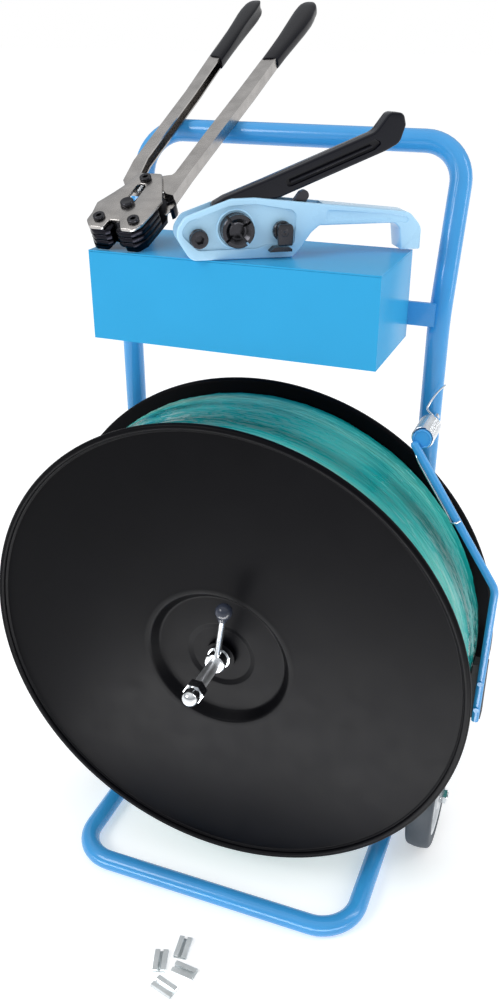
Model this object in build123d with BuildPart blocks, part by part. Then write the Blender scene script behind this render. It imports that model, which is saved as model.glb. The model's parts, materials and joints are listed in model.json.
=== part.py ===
from build123d import *
from math import acos, cos, degrees, radians, sin, sqrt, tan
import os

os.makedirs("parts", exist_ok=True)

# A strap dispensing cart: a bent tube frame on two wheels carries a reel of strap, a tool box
# with two hand tools resting on its lid, and a sprung brake arm. Millimetres, +Z up, floor at Z 0.
# X runs to the right of the cart, Y to its back. The origin is under the middle of the whole object.

# ---- driving dimensions ----
FRAME_Y = 34.0  # plane of the two uprights
TUBE_R = 12.5
TUBE_WALL = 2.0
UPRIGHT_X = 192.0
BUTT_Z = 160.0
KINK_Z = 728.0
BAR_Z = 904.0
BAR_BACK = 72.5
FOOT_REACH = 243.5

AXLE_Z = 345.0
REEL_Y = FRAME_Y - 114.5
REEL_HALF_GAP = 75.0
FLANGE_R = 300.0
SHEET = 1.5
BEAD_R = 4.0
COIL_R = 284.0
CORE_BORE_R = 195.0
COIL_BORE_R = 203.0
COIL_HALF_WIDTH = 74.0
SPINDLE_R = 7.45
SPINDLE_FRONT_Y = FRAME_Y - 251.0
SPINDLE_BACK_Y = FRAME_Y + 62.0

WHEEL_R = 75.0
WHEEL_Y = FRAME_Y - 27.0
WHEEL_INNER_X = 227.0
WHEEL_WIDTH = 33.0

BOX_HALF_X = 159.0
BOX_FRONT_Y = FRAME_Y - 146.7
BOX_BACK_Y = FRAME_Y - 12.6
BOX_BOTTOM_Z = 708.5
LID_TOP_Z = 803.4
RAIL_Z = 734.4
RAIL_HEIGHT = 25.6

BRAKE_X = 200.0
BRAKE_Z = 618.0
BRAKE_ROD_R = 4.5
BRAKE_ROD_Y = FRAME_Y - 88.2

TENSIONER_YAW = 33.6
TENSIONER_X = -31.2
TENSIONER_Y = FRAME_Y - 156.4
TENSIONER_Z = LID_TOP_Z + 0.4
TENSIONER_DEPTH = 30.0

SEALER_AIM = 2.1
SEALER_LEAN = 25.8
SEALER_X = -127.3
SEALER_Y = FRAME_Y - 139.2
SEALER_Z = 835.4
SEALER_DEPTH = 28.0
JAW_BOLT_X = 20.3
TOP_BOLT_Y = 72.8
ARM_BACK = -17.4
ARM_DEPTH = 13.0

CLEAR = 0.3


def save(part, name):
    part.label = name
    export_step(part, f"parts/{name}.step")


def along_y(y, x=0.0, z=AXLE_Z):
    """A plane across a shaft that runs along Y: its normal points to the front of the cart."""
    return Plane(origin=(x, y, z), x_dir=(1, 0, 0), z_dir=(0, -1, 0))


def side_plane(x):
    """The YZ plane at x, seen from the right: local x is Y and local y is Z."""
    return Plane(origin=(x, 0, 0), x_dir=(0, 1, 0), z_dir=(1, 0, 0))


def outline(points, radii):
    """A closed outline with rounded corners. A radius shrinks where its two sides are too short for it."""
    safe = []
    for i, radius in enumerate(radii):
        corner = Vector(points[i])
        before = Vector(points[i - 1]) - corner
        after = Vector(points[(i + 1) % len(points)]) - corner
        half = radians(before.get_angle(after)) / 2
        reach = 0.47 * min(before.length, after.length)
        safe.append(min(radius, reach * tan(half)))
    return FilletPolyline(*points, radius=safe, close=True)


yaw = radians(TENSIONER_YAW)
TENSIONER = Plane(
    origin=(TENSIONER_X, TENSIONER_Y, TENSIONER_Z),
    x_dir=(cos(yaw), sin(yaw), 0),
    z_dir=(sin(yaw), -cos(yaw), 0),
)
aim = radians(SEALER_AIM)
lean = radians(SEALER_LEAN)
sealer_axis = Vector(sin(aim) * cos(lean), cos(aim) * cos(lean), sin(lean))
sealer_normal = Vector(0, -sealer_axis.Z, sealer_axis.Y).normalized()
SEALER = Plane(
    origin=(SEALER_X, SEALER_Y, SEALER_Z),
    x_dir=sealer_axis.cross(sealer_normal),
    z_dir=sealer_normal,
)

# ================= frame =================
# Upper hoop: two uprights that lean back above the tool box and meet in the handle bar.
with BuildPart() as handle_hoop:
    with BuildLine():
        FilletPolyline(
            (-UPRIGHT_X, FRAME_Y, BUTT_Z),
            (-UPRIGHT_X, FRAME_Y, KINK_Z),
            (-UPRIGHT_X, FRAME_Y + BAR_BACK, BAR_Z),
            (UPRIGHT_X, FRAME_Y + BAR_BACK, BAR_Z),
            (UPRIGHT_X, FRAME_Y, KINK_Z),
            (UPRIGHT_X, FRAME_Y, BUTT_Z),
            radius=[100, 45, 45, 100],
        )
    with BuildSketch(Plane.XY.offset(BUTT_Z)):
        with Locations((-UPRIGHT_X, FRAME_Y)):
            Circle(TUBE_R)
            Circle(TUBE_R - TUBE_WALL, mode=Mode.SUBTRACT)
    sweep()
save(handle_hoop.part, "handle_hoop")

# Lower hoop: the floor bar in front, the runners, and the bends up to the uprights.
with BuildPart() as foot_hoop:
    with BuildLine():
        FilletPolyline(
            (-UPRIGHT_X, FRAME_Y, BUTT_Z),
            (-UPRIGHT_X, FRAME_Y, TUBE_R),
            (-UPRIGHT_X, FRAME_Y - FOOT_REACH, TUBE_R),
            (UPRIGHT_X, FRAME_Y - FOOT_REACH, TUBE_R),
            (UPRIGHT_X, FRAME_Y, TUBE_R),
            (UPRIGHT_X, FRAME_Y, BUTT_Z),
            radius=[70, 50, 50, 70],
        )
    with BuildSketch(Plane.XY.offset(BUTT_Z)):
        with Locations((-UPRIGHT_X, FRAME_Y)):
            Circle(TUBE_R)
            Circle(TUBE_R - TUBE_WALL, mode=Mode.SUBTRACT)
    sweep()
save(foot_hoop.part, "foot_hoop")

# Inner sleeves that join the two hoops where they butt.
SLEEVE_HALF = 30.0
with BuildPart() as joint_sleeves:
    with BuildSketch(Plane.XY.offset(BUTT_Z - SLEEVE_HALF)):
        with Locations((-UPRIGHT_X, FRAME_Y), (UPRIGHT_X, FRAME_Y)):
            Circle(TUBE_R - TUBE_WALL - 0.1)
            Circle(TUBE_R - 2 * TUBE_WALL, mode=Mode.SUBTRACT)
    extrude(amount=2 * SLEEVE_HALF)
save(joint_sleeves.part, "joint_sleeves")

# Flat rail across the uprights that carries the tool box, coped to the bent tubes.
SCREW_XS = (-120.0, -40.0, 40.0, 120.0)
RAIL_THICK = 5.0
with BuildPart() as box_rail:
    with Locations((0, FRAME_Y - 10.0, RAIL_Z)):
        Box(2 * UPRIGHT_X - 6, RAIL_THICK, RAIL_HEIGHT)
    with BuildSketch(along_y(FRAME_Y - 5, 0, RAIL_Z)):
        with Locations(*[(x, 0) for x in SCREW_XS]):
            Circle(2.6)
    extrude(amount=12, mode=Mode.SUBTRACT)
    for side in (-1, 1):
        with BuildLine():
            FilletPolyline(
                (side * UPRIGHT_X, FRAME_Y, BUTT_Z),
                (side * UPRIGHT_X, FRAME_Y, KINK_Z),
                (side * UPRIGHT_X, FRAME_Y + BAR_BACK, BAR_Z),
                radius=[100],
            )
        with BuildSketch(Plane.XY.offset(BUTT_Z)):
            with Locations((side * UPRIGHT_X, FRAME_Y)):
                Circle(TUBE_R + 0.05)
        sweep(mode=Mode.SUBTRACT)
save(box_rail.part, "box_rail")

# Plate between the uprights that holds the spindle's bearing housing.
BEAM_HALF_HEIGHT = 30.0
BEAM_THICK = 8.0
HOUSING_R = 21.0
HOUSING_HALF = 30.0
with BuildPart() as axle_beam:
    with Locations((0, FRAME_Y, AXLE_Z)):
        Box(2 * UPRIGHT_X, BEAM_THICK, 2 * BEAM_HALF_HEIGHT)
    with Locations((-UPRIGHT_X, FRAME_Y, AXLE_Z), (UPRIGHT_X, FRAME_Y, AXLE_Z)):
        Cylinder(TUBE_R + 0.05, 4 * BEAM_HALF_HEIGHT, mode=Mode.SUBTRACT)
    with BuildSketch(along_y(FRAME_Y + BEAM_THICK)):
        Circle(HOUSING_R + 0.05)
    extrude(amount=2 * BEAM_THICK, mode=Mode.SUBTRACT)
save(axle_beam.part, "axle_beam")

BEARING_R = 17.5
BEARING_WIDTH = 11.0
with BuildPart() as bearing_housing:
    with BuildSketch(along_y(FRAME_Y + HOUSING_HALF)):
        Circle(HOUSING_R)
        Circle(BEARING_R - 2.0, mode=Mode.SUBTRACT)
    extrude(amount=2 * HOUSING_HALF)
    with BuildSketch(along_y(FRAME_Y + HOUSING_HALF)):
        Circle(BEARING_R)
    extrude(amount=BEARING_WIDTH, mode=Mode.SUBTRACT)
    with BuildSketch(along_y(FRAME_Y - HOUSING_HALF + BEARING_WIDTH)):
        Circle(BEARING_R)
    extrude(amount=BEARING_WIDTH, mode=Mode.SUBTRACT)
save(bearing_housing.part, "bearing_housing")

with BuildPart() as spindle_bearings:
    for y in (FRAME_Y + HOUSING_HALF - 0.5, FRAME_Y - HOUSING_HALF + BEARING_WIDTH - 0.5):
        with BuildSketch(along_y(y)):
            Circle(BEARING_R - 0.02)
            Circle(SPINDLE_R + 0.05, mode=Mode.SUBTRACT)
        extrude(amount=BEARING_WIDTH - 1.0)
save(spindle_bearings.part, "spindle_bearings")

# ---- wheels and their stub axles ----
GUSSET_THICK = 5.0
GUSSET_TOP_Z = 118.0
BEND_R = 70.0
BEND_Y = FRAME_Y - BEND_R
BEND_Z = TUBE_R + BEND_R
STUB_R = 6.0
with BuildPart() as wheel_gussets:
    for x in (-UPRIGHT_X, UPRIGHT_X):
        with BuildSketch(side_plane(x)):
            with BuildLine():
                inner = BEND_R - TUBE_R - 0.05
                Line((BEND_Y, BEND_Z), (BEND_Y, BEND_Z - inner))
                CenterArc((BEND_Y, BEND_Z), inner, -90, 90)
                Line((BEND_Y + inner, BEND_Z), (BEND_Y + inner, GUSSET_TOP_Z))
                Line((BEND_Y + inner, GUSSET_TOP_Z), (BEND_Y, BEND_Z))
            make_face()
            with Locations((WHEEL_Y, WHEEL_R)):
                Circle(STUB_R + 0.05, mode=Mode.SUBTRACT)
        extrude(amount=GUSSET_THICK / 2, both=True)
save(wheel_gussets.part, "wheel_gussets")

STUB_END_X = WHEEL_INNER_X + WHEEL_WIDTH + 11.0
with BuildPart() as wheel_axles:
    for side in (-1, 1):
        head = Plane(origin=(side * (UPRIGHT_X - 2.6), WHEEL_Y, WHEEL_R), z_dir=(-side, 0, 0))
        with BuildSketch(head):
            RegularPolygon(9.5, 6, major_radius=False)
        extrude(amount=6.5)
        with BuildSketch(head):
            Circle(STUB_R)
        extrude(amount=-(STUB_END_X - UPRIGHT_X + 2.6))
save(wheel_axles.part, "wheel_axles")

with BuildPart() as axle_spacers:
    for side in (-1, 1):
        start = Plane(origin=(side * (UPRIGHT_X + 2.6), WHEEL_Y, WHEEL_R), z_dir=(side, 0, 0))
        with BuildSketch(start):
            Circle(10.0)
            Circle(STUB_R + 0.05, mode=Mode.SUBTRACT)
        extrude(amount=WHEEL_INNER_X - UPRIGHT_X - 3.6)
save(axle_spacers.part, "axle_spacers")

with BuildPart() as axle_nuts:
    for side in (-1, 1):
        start = Plane(
            origin=(side * (WHEEL_INNER_X + WHEEL_WIDTH + 1.0), WHEEL_Y, WHEEL_R), z_dir=(side, 0, 0)
        )
        with BuildSketch(start):
            Circle(11.0)
            Circle(STUB_R, mode=Mode.SUBTRACT)
        extrude(amount=1.5)
        with BuildSketch(start.offset(1.5)):
            RegularPolygon(9.5, 6, major_radius=False)
            Circle(STUB_R, mode=Mode.SUBTRACT)
        extrude(amount=7.0)
save(axle_nuts.part, "axle_nuts")

# Each wheel is a soft tyre on a moulded rim that turns on its stub axle.
RIM_R = 56.0
HUB_R = 20.0
for side, word in ((-1, "left"), (1, "right")):
    face = Plane(origin=(side * WHEEL_INNER_X, WHEEL_Y, WHEEL_R), z_dir=(side, 0, 0))
    middle = face.offset(WHEEL_WIDTH / 2)
    with BuildPart() as tyre:
        with BuildSketch(face):
            Circle(WHEEL_R)
        extrude(amount=WHEEL_WIDTH)
        fillet(tyre.edges().filter_by(GeomType.CIRCLE), 5.0)
        with BuildSketch(face):
            Circle(RIM_R)
        extrude(amount=WHEEL_WIDTH, mode=Mode.SUBTRACT)
    save(tyre.part, f"tyre_{word}")

    with BuildPart() as rim:
        with BuildSketch(middle):
            Circle(RIM_R)
            Circle(RIM_R - 6.0, mode=Mode.SUBTRACT)
        extrude(amount=WHEEL_WIDTH / 2 - 1.0, both=True)
        with BuildSketch(middle):
            Circle(RIM_R - 5.0)
        extrude(amount=6.0, both=True)
        with BuildSketch(middle):
            Circle(HUB_R)
        extrude(amount=WHEEL_WIDTH / 2, both=True)
        with BuildSketch(middle):
            Circle(STUB_R + 0.08)
        extrude(amount=WHEEL_WIDTH, both=True, mode=Mode.SUBTRACT)
    save(rim.part, f"rim_{word}")

# ================= tool box =================
LID_Z = LID_TOP_Z - SHEET
with BuildPart() as toolbox_shell:
    box_mid_y = (BOX_FRONT_Y + BOX_BACK_Y) / 2
    box_depth = BOX_BACK_Y - BOX_FRONT_Y
    shell_height = LID_Z - CLEAR - BOX_BOTTOM_Z
    with Locations((0, box_mid_y, BOX_BOTTOM_Z)):
        Box(2 * BOX_HALF_X, box_depth, shell_height, align=(Align.CENTER, Align.CENTER, Align.MIN))
    with Locations((0, box_mid_y, BOX_BOTTOM_Z + SHEET)):
        Box(
            2 * (BOX_HALF_X - SHEET),
            box_depth - 2 * SHEET,
            shell_height,
            align=(Align.CENTER, Align.CENTER, Align.MIN),
            mode=Mode.SUBTRACT,
        )
    with BuildSketch(along_y(BOX_BACK_Y + 2, 0, RAIL_Z)):
        with Locations(*[(x, 0) for x in SCREW_XS]):
            Circle(2.6)
    extrude(amount=6, mode=Mode.SUBTRACT)
save(toolbox_shell.part, "toolbox_shell")

# Loose lid: a flat sheet with a folded lip that drops just inside the walls.
LIP_DEPTH = 8.0
with BuildPart() as toolbox_lid:
    with Locations((0, box_mid_y, LID_Z)):
        Box(2 * BOX_HALF_X, box_depth, SHEET, align=(Align.CENTER, Align.CENTER, Align.MIN))
    lip_x = 2 * (BOX_HALF_X - SHEET - 0.5)
    lip_y = box_depth - 2 * SHEET - 1.0
    with BuildSketch(Plane.XY.offset(LID_Z)):
        with Locations((0, box_mid_y)):
            Rectangle(lip_x, lip_y)
            Rectangle(lip_x - 2 * SHEET, lip_y - 2 * SHEET, mode=Mode.SUBTRACT)
    extrude(amount=-LIP_DEPTH)
save(toolbox_lid.part, "toolbox_lid")

with BuildPart() as toolbox_screws:
    for x in SCREW_XS:
        with BuildSketch(along_y(BOX_BACK_Y - SHEET, x, RAIL_Z)):
            Circle(4.5)
        extrude(amount=2.5)
        with BuildSketch(along_y(BOX_BACK_Y - SHEET, x, RAIL_Z)):
            Circle(2.5)
        extrude(amount=-13.0)
        with BuildSketch(along_y(FRAME_Y - 7.4, x, RAIL_Z)):
            RegularPolygon(4.0, 6, major_radius=False)
        extrude(amount=-4.0)
save(toolbox_screws.part, "toolbox_screws")

# ================= reel =================
RECESS_R = 91.0
RECESS_FLOOR_R = 84.0
STEP_R = 42.0
STEP_FLOOR_R = 38.0
RECESS_DEPTH = 12.0
STEP_DEPTH = 2.0
CENTRE_DEPTH = RECESS_DEPTH + STEP_DEPTH


def flange(front):
    """Pressed sheet disc: curled rim, flat web, dished middle. front is -1 or +1 along Y."""
    inner_y = REEL_Y + front * REEL_HALF_GAP
    outer_y = inner_y + front * SHEET
    with BuildPart() as disc:
        with BuildSketch(Plane.YZ):
            with BuildLine():
                Polyline(
                    (outer_y - front * CENTRE_DEPTH, AXLE_Z + SPINDLE_R + 0.05),
                    (outer_y - front * CENTRE_DEPTH, AXLE_Z + STEP_FLOOR_R),
                    (outer_y - front * RECESS_DEPTH, AXLE_Z + STEP_R),
                    (outer_y - front * RECESS_DEPTH, AXLE_Z + RECESS_FLOOR_R),
                    (outer_y, AXLE_Z + RECESS_R),
                    (outer_y, AXLE_Z + FLANGE_R - BEAD_R),
                    (inner_y, AXLE_Z + FLANGE_R - BEAD_R),
                    (inner_y, AXLE_Z + RECESS_R + 1.2),
                    (inner_y - front * RECESS_DEPTH, AXLE_Z + RECESS_FLOOR_R + 1.2),
                    (inner_y - front * RECESS_DEPTH, AXLE_Z + STEP_R + 1.2),
                    (inner_y - front * CENTRE_DEPTH, AXLE_Z + STEP_FLOOR_R + 1.2),
                    (inner_y - front * CENTRE_DEPTH, AXLE_Z + SPINDLE_R + 0.05),
                    close=True,
                )
            make_face()
            with Locations((inner_y + front * BEAD_R, AXLE_Z + FLANGE_R - BEAD_R)):
                Circle(BEAD_R)
        revolve(axis=Axis((0, 0, AXLE_Z), (0, 1, 0)))
    return disc.part


save(flange(-1), "front_flange")
save(flange(1), "rear_flange")

FRONT_CENTRE_Y = REEL_Y - REEL_HALF_GAP - SHEET + CENTRE_DEPTH
REAR_CENTRE_Y = REEL_Y + REEL_HALF_GAP + SHEET - CENTRE_DEPTH


def ring(start_y, end_y, outer_r, inner_r):
    """A plain ring on the spindle's axis between two places along Y."""
    with BuildPart() as solid:
        with BuildSketch(along_y(end_y)):
            Circle(outer_r)
            Circle(inner_r, mode=Mode.SUBTRACT)
        extrude(amount=end_y - start_y)
    return solid.part


save(ring(REEL_Y - COIL_HALF_WIDTH, REEL_Y + COIL_HALF_WIDTH, COIL_R, COIL_BORE_R), "strap_coil")
save(ring(REEL_Y - COIL_HALF_WIDTH, REEL_Y + COIL_HALF_WIDTH, COIL_BORE_R, CORE_BORE_R), "core_tube")

DRUM_R = 193.5
DRUM_THICK = 3.0
DRUM_HALF_WIDTH = 70.0
HUB_OUTER_R = 17.0
save(ring(REEL_Y - DRUM_HALF_WIDTH, REEL_Y + DRUM_HALF_WIDTH, DRUM_R, DRUM_R - DRUM_THICK), "drum_ring")
save(ring(FRONT_CENTRE_Y + SHEET, REAR_CENTRE_Y - SHEET, HUB_OUTER_R, SPINDLE_R), "hub_sleeve")

# Four plates that carry the drum ring on the hub sleeve.
SPOKE_HALF_WIDTH = 45.0
with BuildPart() as drum_spokes:
    for angle in (45, 135, 225, 315):
        start = Vector(cos(radians(angle)), 0, sin(radians(angle)))
        centre = Vector(0, REEL_Y, AXLE_Z) + start * HUB_OUTER_R
        with BuildSketch(Plane(origin=centre, x_dir=(0, 1, 0), z_dir=start)):
            Rectangle(2 * SPOKE_HALF_WIDTH, DRUM_THICK)
        extrude(amount=DRUM_R - DRUM_THICK - HUB_OUTER_R - 0.05)
save(drum_spokes.part, "drum_spokes")

with BuildPart() as spindle:
    with BuildSketch(along_y(SPINDLE_BACK_Y)):
        Circle(SPINDLE_R)
    extrude(amount=SPINDLE_BACK_Y - SPINDLE_FRONT_Y)
    chamfer(spindle.edges().filter_by(GeomType.CIRCLE), 0.8)
save(spindle.part, "spindle")

# Collar that the rear flange bears on, just in front of the bearing housing.
COLLAR_FRONT_Y = REAR_CENTRE_Y
COLLAR_BACK_Y = FRAME_Y - HOUSING_HALF - 1.5
with BuildPart() as spindle_collar:
    with BuildSketch(along_y(COLLAR_BACK_Y)):
        Circle(12.0)
        Circle(SPINDLE_R, mode=Mode.SUBTRACT)
    extrude(amount=COLLAR_BACK_Y - COLLAR_FRONT_Y)
    with BuildSketch(along_y(COLLAR_FRONT_Y + 4.0)):
        Circle(34.0)
        Circle(SPINDLE_R, mode=Mode.SUBTRACT)
    extrude(amount=4.0)
save(spindle_collar.part, "spindle_collar")

REAR_NUT_Y = FRAME_Y + HOUSING_HALF + 1.0
with BuildPart() as rear_lock_nut:
    with BuildSketch(along_y(REAR_NUT_Y + 11.0)):
        RegularPolygon(12.0, 6, major_radius=False)
        Circle(SPINDLE_R, mode=Mode.SUBTRACT)
    extrude(amount=11.0)
save(rear_lock_nut.part, "rear_lock_nut")

# Raised boss in the dish, then a washer for the clamping nut.
BOSS_FRONT_Y = FRONT_CENTRE_Y - 7.0
save(ring(BOSS_FRONT_Y, FRONT_CENTRE_Y, 19.0, SPINDLE_R), "front_boss")
WASHER_FRONT_Y = BOSS_FRONT_Y - 2.5
save(ring(WASHER_FRONT_Y, BOSS_FRONT_Y, 14.0, SPINDLE_R), "clamp_washer")

# Domed nut on the spindle's front end.
CAP_BACK_Y = FRAME_Y - 248.0
CAP_HEX = 12.0
CAP_DOME_R = 10.0
CAP_DOME_Y = CAP_BACK_Y - CAP_HEX - 7.0
with BuildPart() as end_cap_nut:
    with BuildSketch(along_y(CAP_BACK_Y)):
        RegularPolygon(11.0, 6, major_radius=False)
    extrude(amount=CAP_HEX)
    with BuildSketch(along_y(CAP_BACK_Y - CAP_HEX)):
        Circle(CAP_DOME_R)
    extrude(amount=7.0)
    with Locations((0, CAP_DOME_Y, AXLE_Z)):
        Sphere(CAP_DOME_R)
    with BuildSketch(along_y(CAP_BACK_Y + 1)):
        Circle(SPINDLE_R)
    extrude(amount=1 + CAP_BACK_Y - SPINDLE_FRONT_Y, mode=Mode.SUBTRACT)
save(end_cap_nut.part, "end_cap_nut")

# ---- clamping nut with its lever and ball ----
NUT_BACK_Y = WASHER_FRONT_Y - CLEAR
NUT_LENGTH = 14.5
LEVER_ROOT = Vector(0, NUT_BACK_Y - 7.0, AXLE_Z)
BALL_CENTRE = Vector(22.0, FRAME_Y - 220.0, 436.0)
lever_way = (BALL_CENTRE - LEVER_ROOT).normalized()
lever_length = (BALL_CENTRE - LEVER_ROOT).length
LEVER_R = 4.0
LEVER_START = 9.0
BALL_R = 10.0
LEVER_PLANE = Plane(origin=LEVER_ROOT + lever_way * LEVER_START, z_dir=lever_way)
with BuildPart() as clamp_nut:
    with BuildSketch(along_y(NUT_BACK_Y)):
        Circle(12.5)
    extrude(amount=NUT_LENGTH)
    chamfer(clamp_nut.faces().sort_by(Axis.Y)[0].edges(), 1.5)
    with BuildSketch(along_y(NUT_BACK_Y + 1)):
        Circle(SPINDLE_R + 0.06)
    extrude(amount=NUT_LENGTH + 2, mode=Mode.SUBTRACT)
    with BuildSketch(LEVER_PLANE):
        Circle(LEVER_R + 0.05)
    extrude(amount=20, mode=Mode.SUBTRACT)
save(clamp_nut.part, "clamp_nut")

with BuildPart() as clamp_lever:
    with BuildSketch(LEVER_PLANE):
        Circle(LEVER_R)
    extrude(amount=lever_length - LEVER_START - 3.0)
save(clamp_lever.part, "clamp_lever")

with BuildPart() as ball_knob:
    with Locations(BALL_CENTRE):
        Sphere(BALL_R)
    with BuildSketch(Plane(origin=BALL_CENTRE - lever_way * 14.0, z_dir=lever_way)):
        Circle(6.0)
    extrude(amount=8.0)
    with BuildSketch(Plane(origin=BALL_CENTRE - lever_way * 16.0, z_dir=lever_way)):
        Circle(LEVER_R + 0.05)
    extrude(amount=13.5, mode=Mode.SUBTRACT)
save(ball_knob.part, "ball_knob")

# ================= brake arm =================
PIN_R = 5.0
PIN_BACK_Y = FRAME_Y - TUBE_R + 1.0
PIN_FRONT_Y = FRAME_Y - 79.5
with BuildPart() as brake_pivot_pin:
    with BuildSketch(along_y(PIN_BACK_Y, BRAKE_X, BRAKE_Z)):
        Circle(PIN_R)
    extrude(amount=PIN_BACK_Y - PIN_FRONT_Y)
    with Locations((UPRIGHT_X, FRAME_Y, BRAKE_Z)):
        Cylinder(TUBE_R + 0.02, 40, mode=Mode.SUBTRACT)
save(brake_pivot_pin.part, "brake_pivot_pin")

# The rod is welded across the closed front end of its hub, beside the pivot's axis.
HUB_SLEEVE_R = 9.0
HUB_CAP_R = 10.4
BRAKE_HUB_BACK_Y = FRAME_Y - 30.0
BRAKE_CAP_BACK_Y = FRAME_Y - 81.0
BRAKE_CAP_FRONT_Y = FRAME_Y - 84.0
ROD_TOP = (194.0, 611.6)
ROD_BEND = (299.1, 451.0)
ROD_END = (296.7, 264.0)
ROD_SLOPE = (ROD_BEND[0] - ROD_END[0]) / (ROD_BEND[1] - ROD_END[1])
rod_start = Vector(ROD_TOP[0], BRAKE_ROD_Y, ROD_TOP[1])
rod_way = (Vector(ROD_BEND[0], BRAKE_ROD_Y, ROD_BEND[1]) - rod_start).normalized()
PAD_SCREW_ZS = (283.0, 322.0)


def rod_x(z):
    """Middle of the rod's lower run at a height."""
    return ROD_END[0] + (z - ROD_END[1]) * ROD_SLOPE


with BuildPart() as brake_rod:
    with BuildSketch(along_y(BRAKE_HUB_BACK_Y, BRAKE_X, BRAKE_Z)):
        Circle(HUB_SLEEVE_R)
    extrude(amount=BRAKE_HUB_BACK_Y - BRAKE_CAP_BACK_Y)
    with BuildSketch(along_y(BRAKE_CAP_BACK_Y, BRAKE_X, BRAKE_Z)):
        Circle(HUB_CAP_R)
    extrude(amount=BRAKE_CAP_BACK_Y - BRAKE_CAP_FRONT_Y)
    with BuildLine():
        FilletPolyline(
            rod_start,
            (ROD_BEND[0], BRAKE_ROD_Y, ROD_BEND[1]),
            (ROD_END[0], BRAKE_ROD_Y, ROD_END[1]),
            radius=[25],
        )
    with BuildSketch(Plane(origin=rod_start, z_dir=rod_way)):
        Circle(BRAKE_ROD_R)
    sweep()
    with BuildSketch(along_y(BRAKE_HUB_BACK_Y + 1, BRAKE_X, BRAKE_Z)):
        Circle(PIN_R + 0.08)
    extrude(amount=BRAKE_HUB_BACK_Y + 1 - PIN_FRONT_Y + 0.5, mode=Mode.SUBTRACT)
    for z in PAD_SCREW_ZS:
        with BuildSketch(along_y(BRAKE_ROD_Y + 10, rod_x(z), z)):
            Circle(2.0)
        extrude(amount=20, mode=Mode.SUBTRACT)
save(brake_rod.part, "brake_rod")

# Brake block: its inner face follows the outside of a full coil.
PAD_TOP_Z = 341.0
PAD_BOTTOM_Z = 263.0
PAD_OUTER_X = 302.0
PAD_FRONT_Y = BRAKE_ROD_Y + BRAKE_ROD_R + 0.02
PAD_BACK_Y = FRAME_Y - 66.0
pad_r = COIL_R + 1.6
pad_low_x = sqrt(pad_r**2 - (AXLE_Z - PAD_BOTTOM_Z) ** 2)
pad_high_x = sqrt(pad_r**2 - (PAD_TOP_Z - AXLE_Z) ** 2)
pad_angle = -degrees(acos(pad_low_x / pad_r))
pad_sweep = -degrees(acos(pad_high_x / pad_r)) - pad_angle
with BuildPart() as brake_pad:
    with BuildSketch(along_y(PAD_BACK_Y, 0, AXLE_Z)):
        with BuildLine():
            CenterArc((0, 0), pad_r, pad_angle, pad_sweep)
            Line((pad_high_x, PAD_TOP_Z - AXLE_Z), (PAD_OUTER_X, PAD_TOP_Z - AXLE_Z))
            Line((PAD_OUTER_X, PAD_TOP_Z - AXLE_Z), (PAD_OUTER_X, PAD_BOTTOM_Z - AXLE_Z))
            Line((PAD_OUTER_X, PAD_BOTTOM_Z - AXLE_Z), (pad_low_x, PAD_BOTTOM_Z - AXLE_Z))
        make_face()
    extrude(amount=PAD_BACK_Y - PAD_FRONT_Y)
    for z in PAD_SCREW_ZS:
        with BuildSketch(along_y(PAD_FRONT_Y + 12, rod_x(z), z)):
            Circle(2.0)
        extrude(amount=20, mode=Mode.SUBTRACT)
save(brake_pad.part, "brake_pad")

with BuildPart() as pad_screws:
    for z in PAD_SCREW_ZS:
        with BuildSketch(along_y(PAD_FRONT_Y + 11, rod_x(z), z)):
            Circle(1.95)
        extrude(amount=11 + 2 * BRAKE_ROD_R + 0.2)
        with BuildSketch(along_y(BRAKE_ROD_Y - BRAKE_ROD_R - 0.1, rod_x(z), z)):
            Circle(3.4)
        extrude(amount=1.6)
save(pad_screws.part, "pad_screws")

# Torsion spring round the pivot hub: its turns stay with the frame, one leg rests on the upright
# and the other presses on the rod.
SPRING_R = 11.6
SPRING_WIRE_R = 1.1
SPRING_TURNS = 17
SPRING_BACK_Y = FRAME_Y - 40.0
SPRING_PITCH = 2.5
with BuildPart() as spring_coil:
    for turn in range(SPRING_TURNS):
        with Locations(Plane(origin=(BRAKE_X, SPRING_BACK_Y - turn * SPRING_PITCH, BRAKE_Z), z_dir=(0, 1, 0))):
            Torus(SPRING_R, SPRING_WIRE_R)
save(spring_coil.part, "spring_coil")

pivot = Vector(BRAKE_X, 0, BRAKE_Z)
leg_side = Vector(rod_way.Z, 0, -rod_way.X)
leg_points = [
    pivot + leg_side * 14.0 + Vector(0, FRAME_Y - 78.5, 0),
    pivot + leg_side * 14.9 + rod_way * 24.0 + Vector(0, BRAKE_ROD_Y, 0),
    pivot + leg_side * 14.9 + rod_way * 94.0 + Vector(0, BRAKE_ROD_Y, 0),
]
with BuildPart() as spring_leg:
    with BuildLine():
        FilletPolyline(*leg_points, radius=[20])
    with BuildSketch(Plane(origin=leg_points[0], z_dir=leg_points[1] - leg_points[0])):
        Circle(SPRING_WIRE_R)
    sweep()
save(spring_leg.part, "spring_leg")

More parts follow.
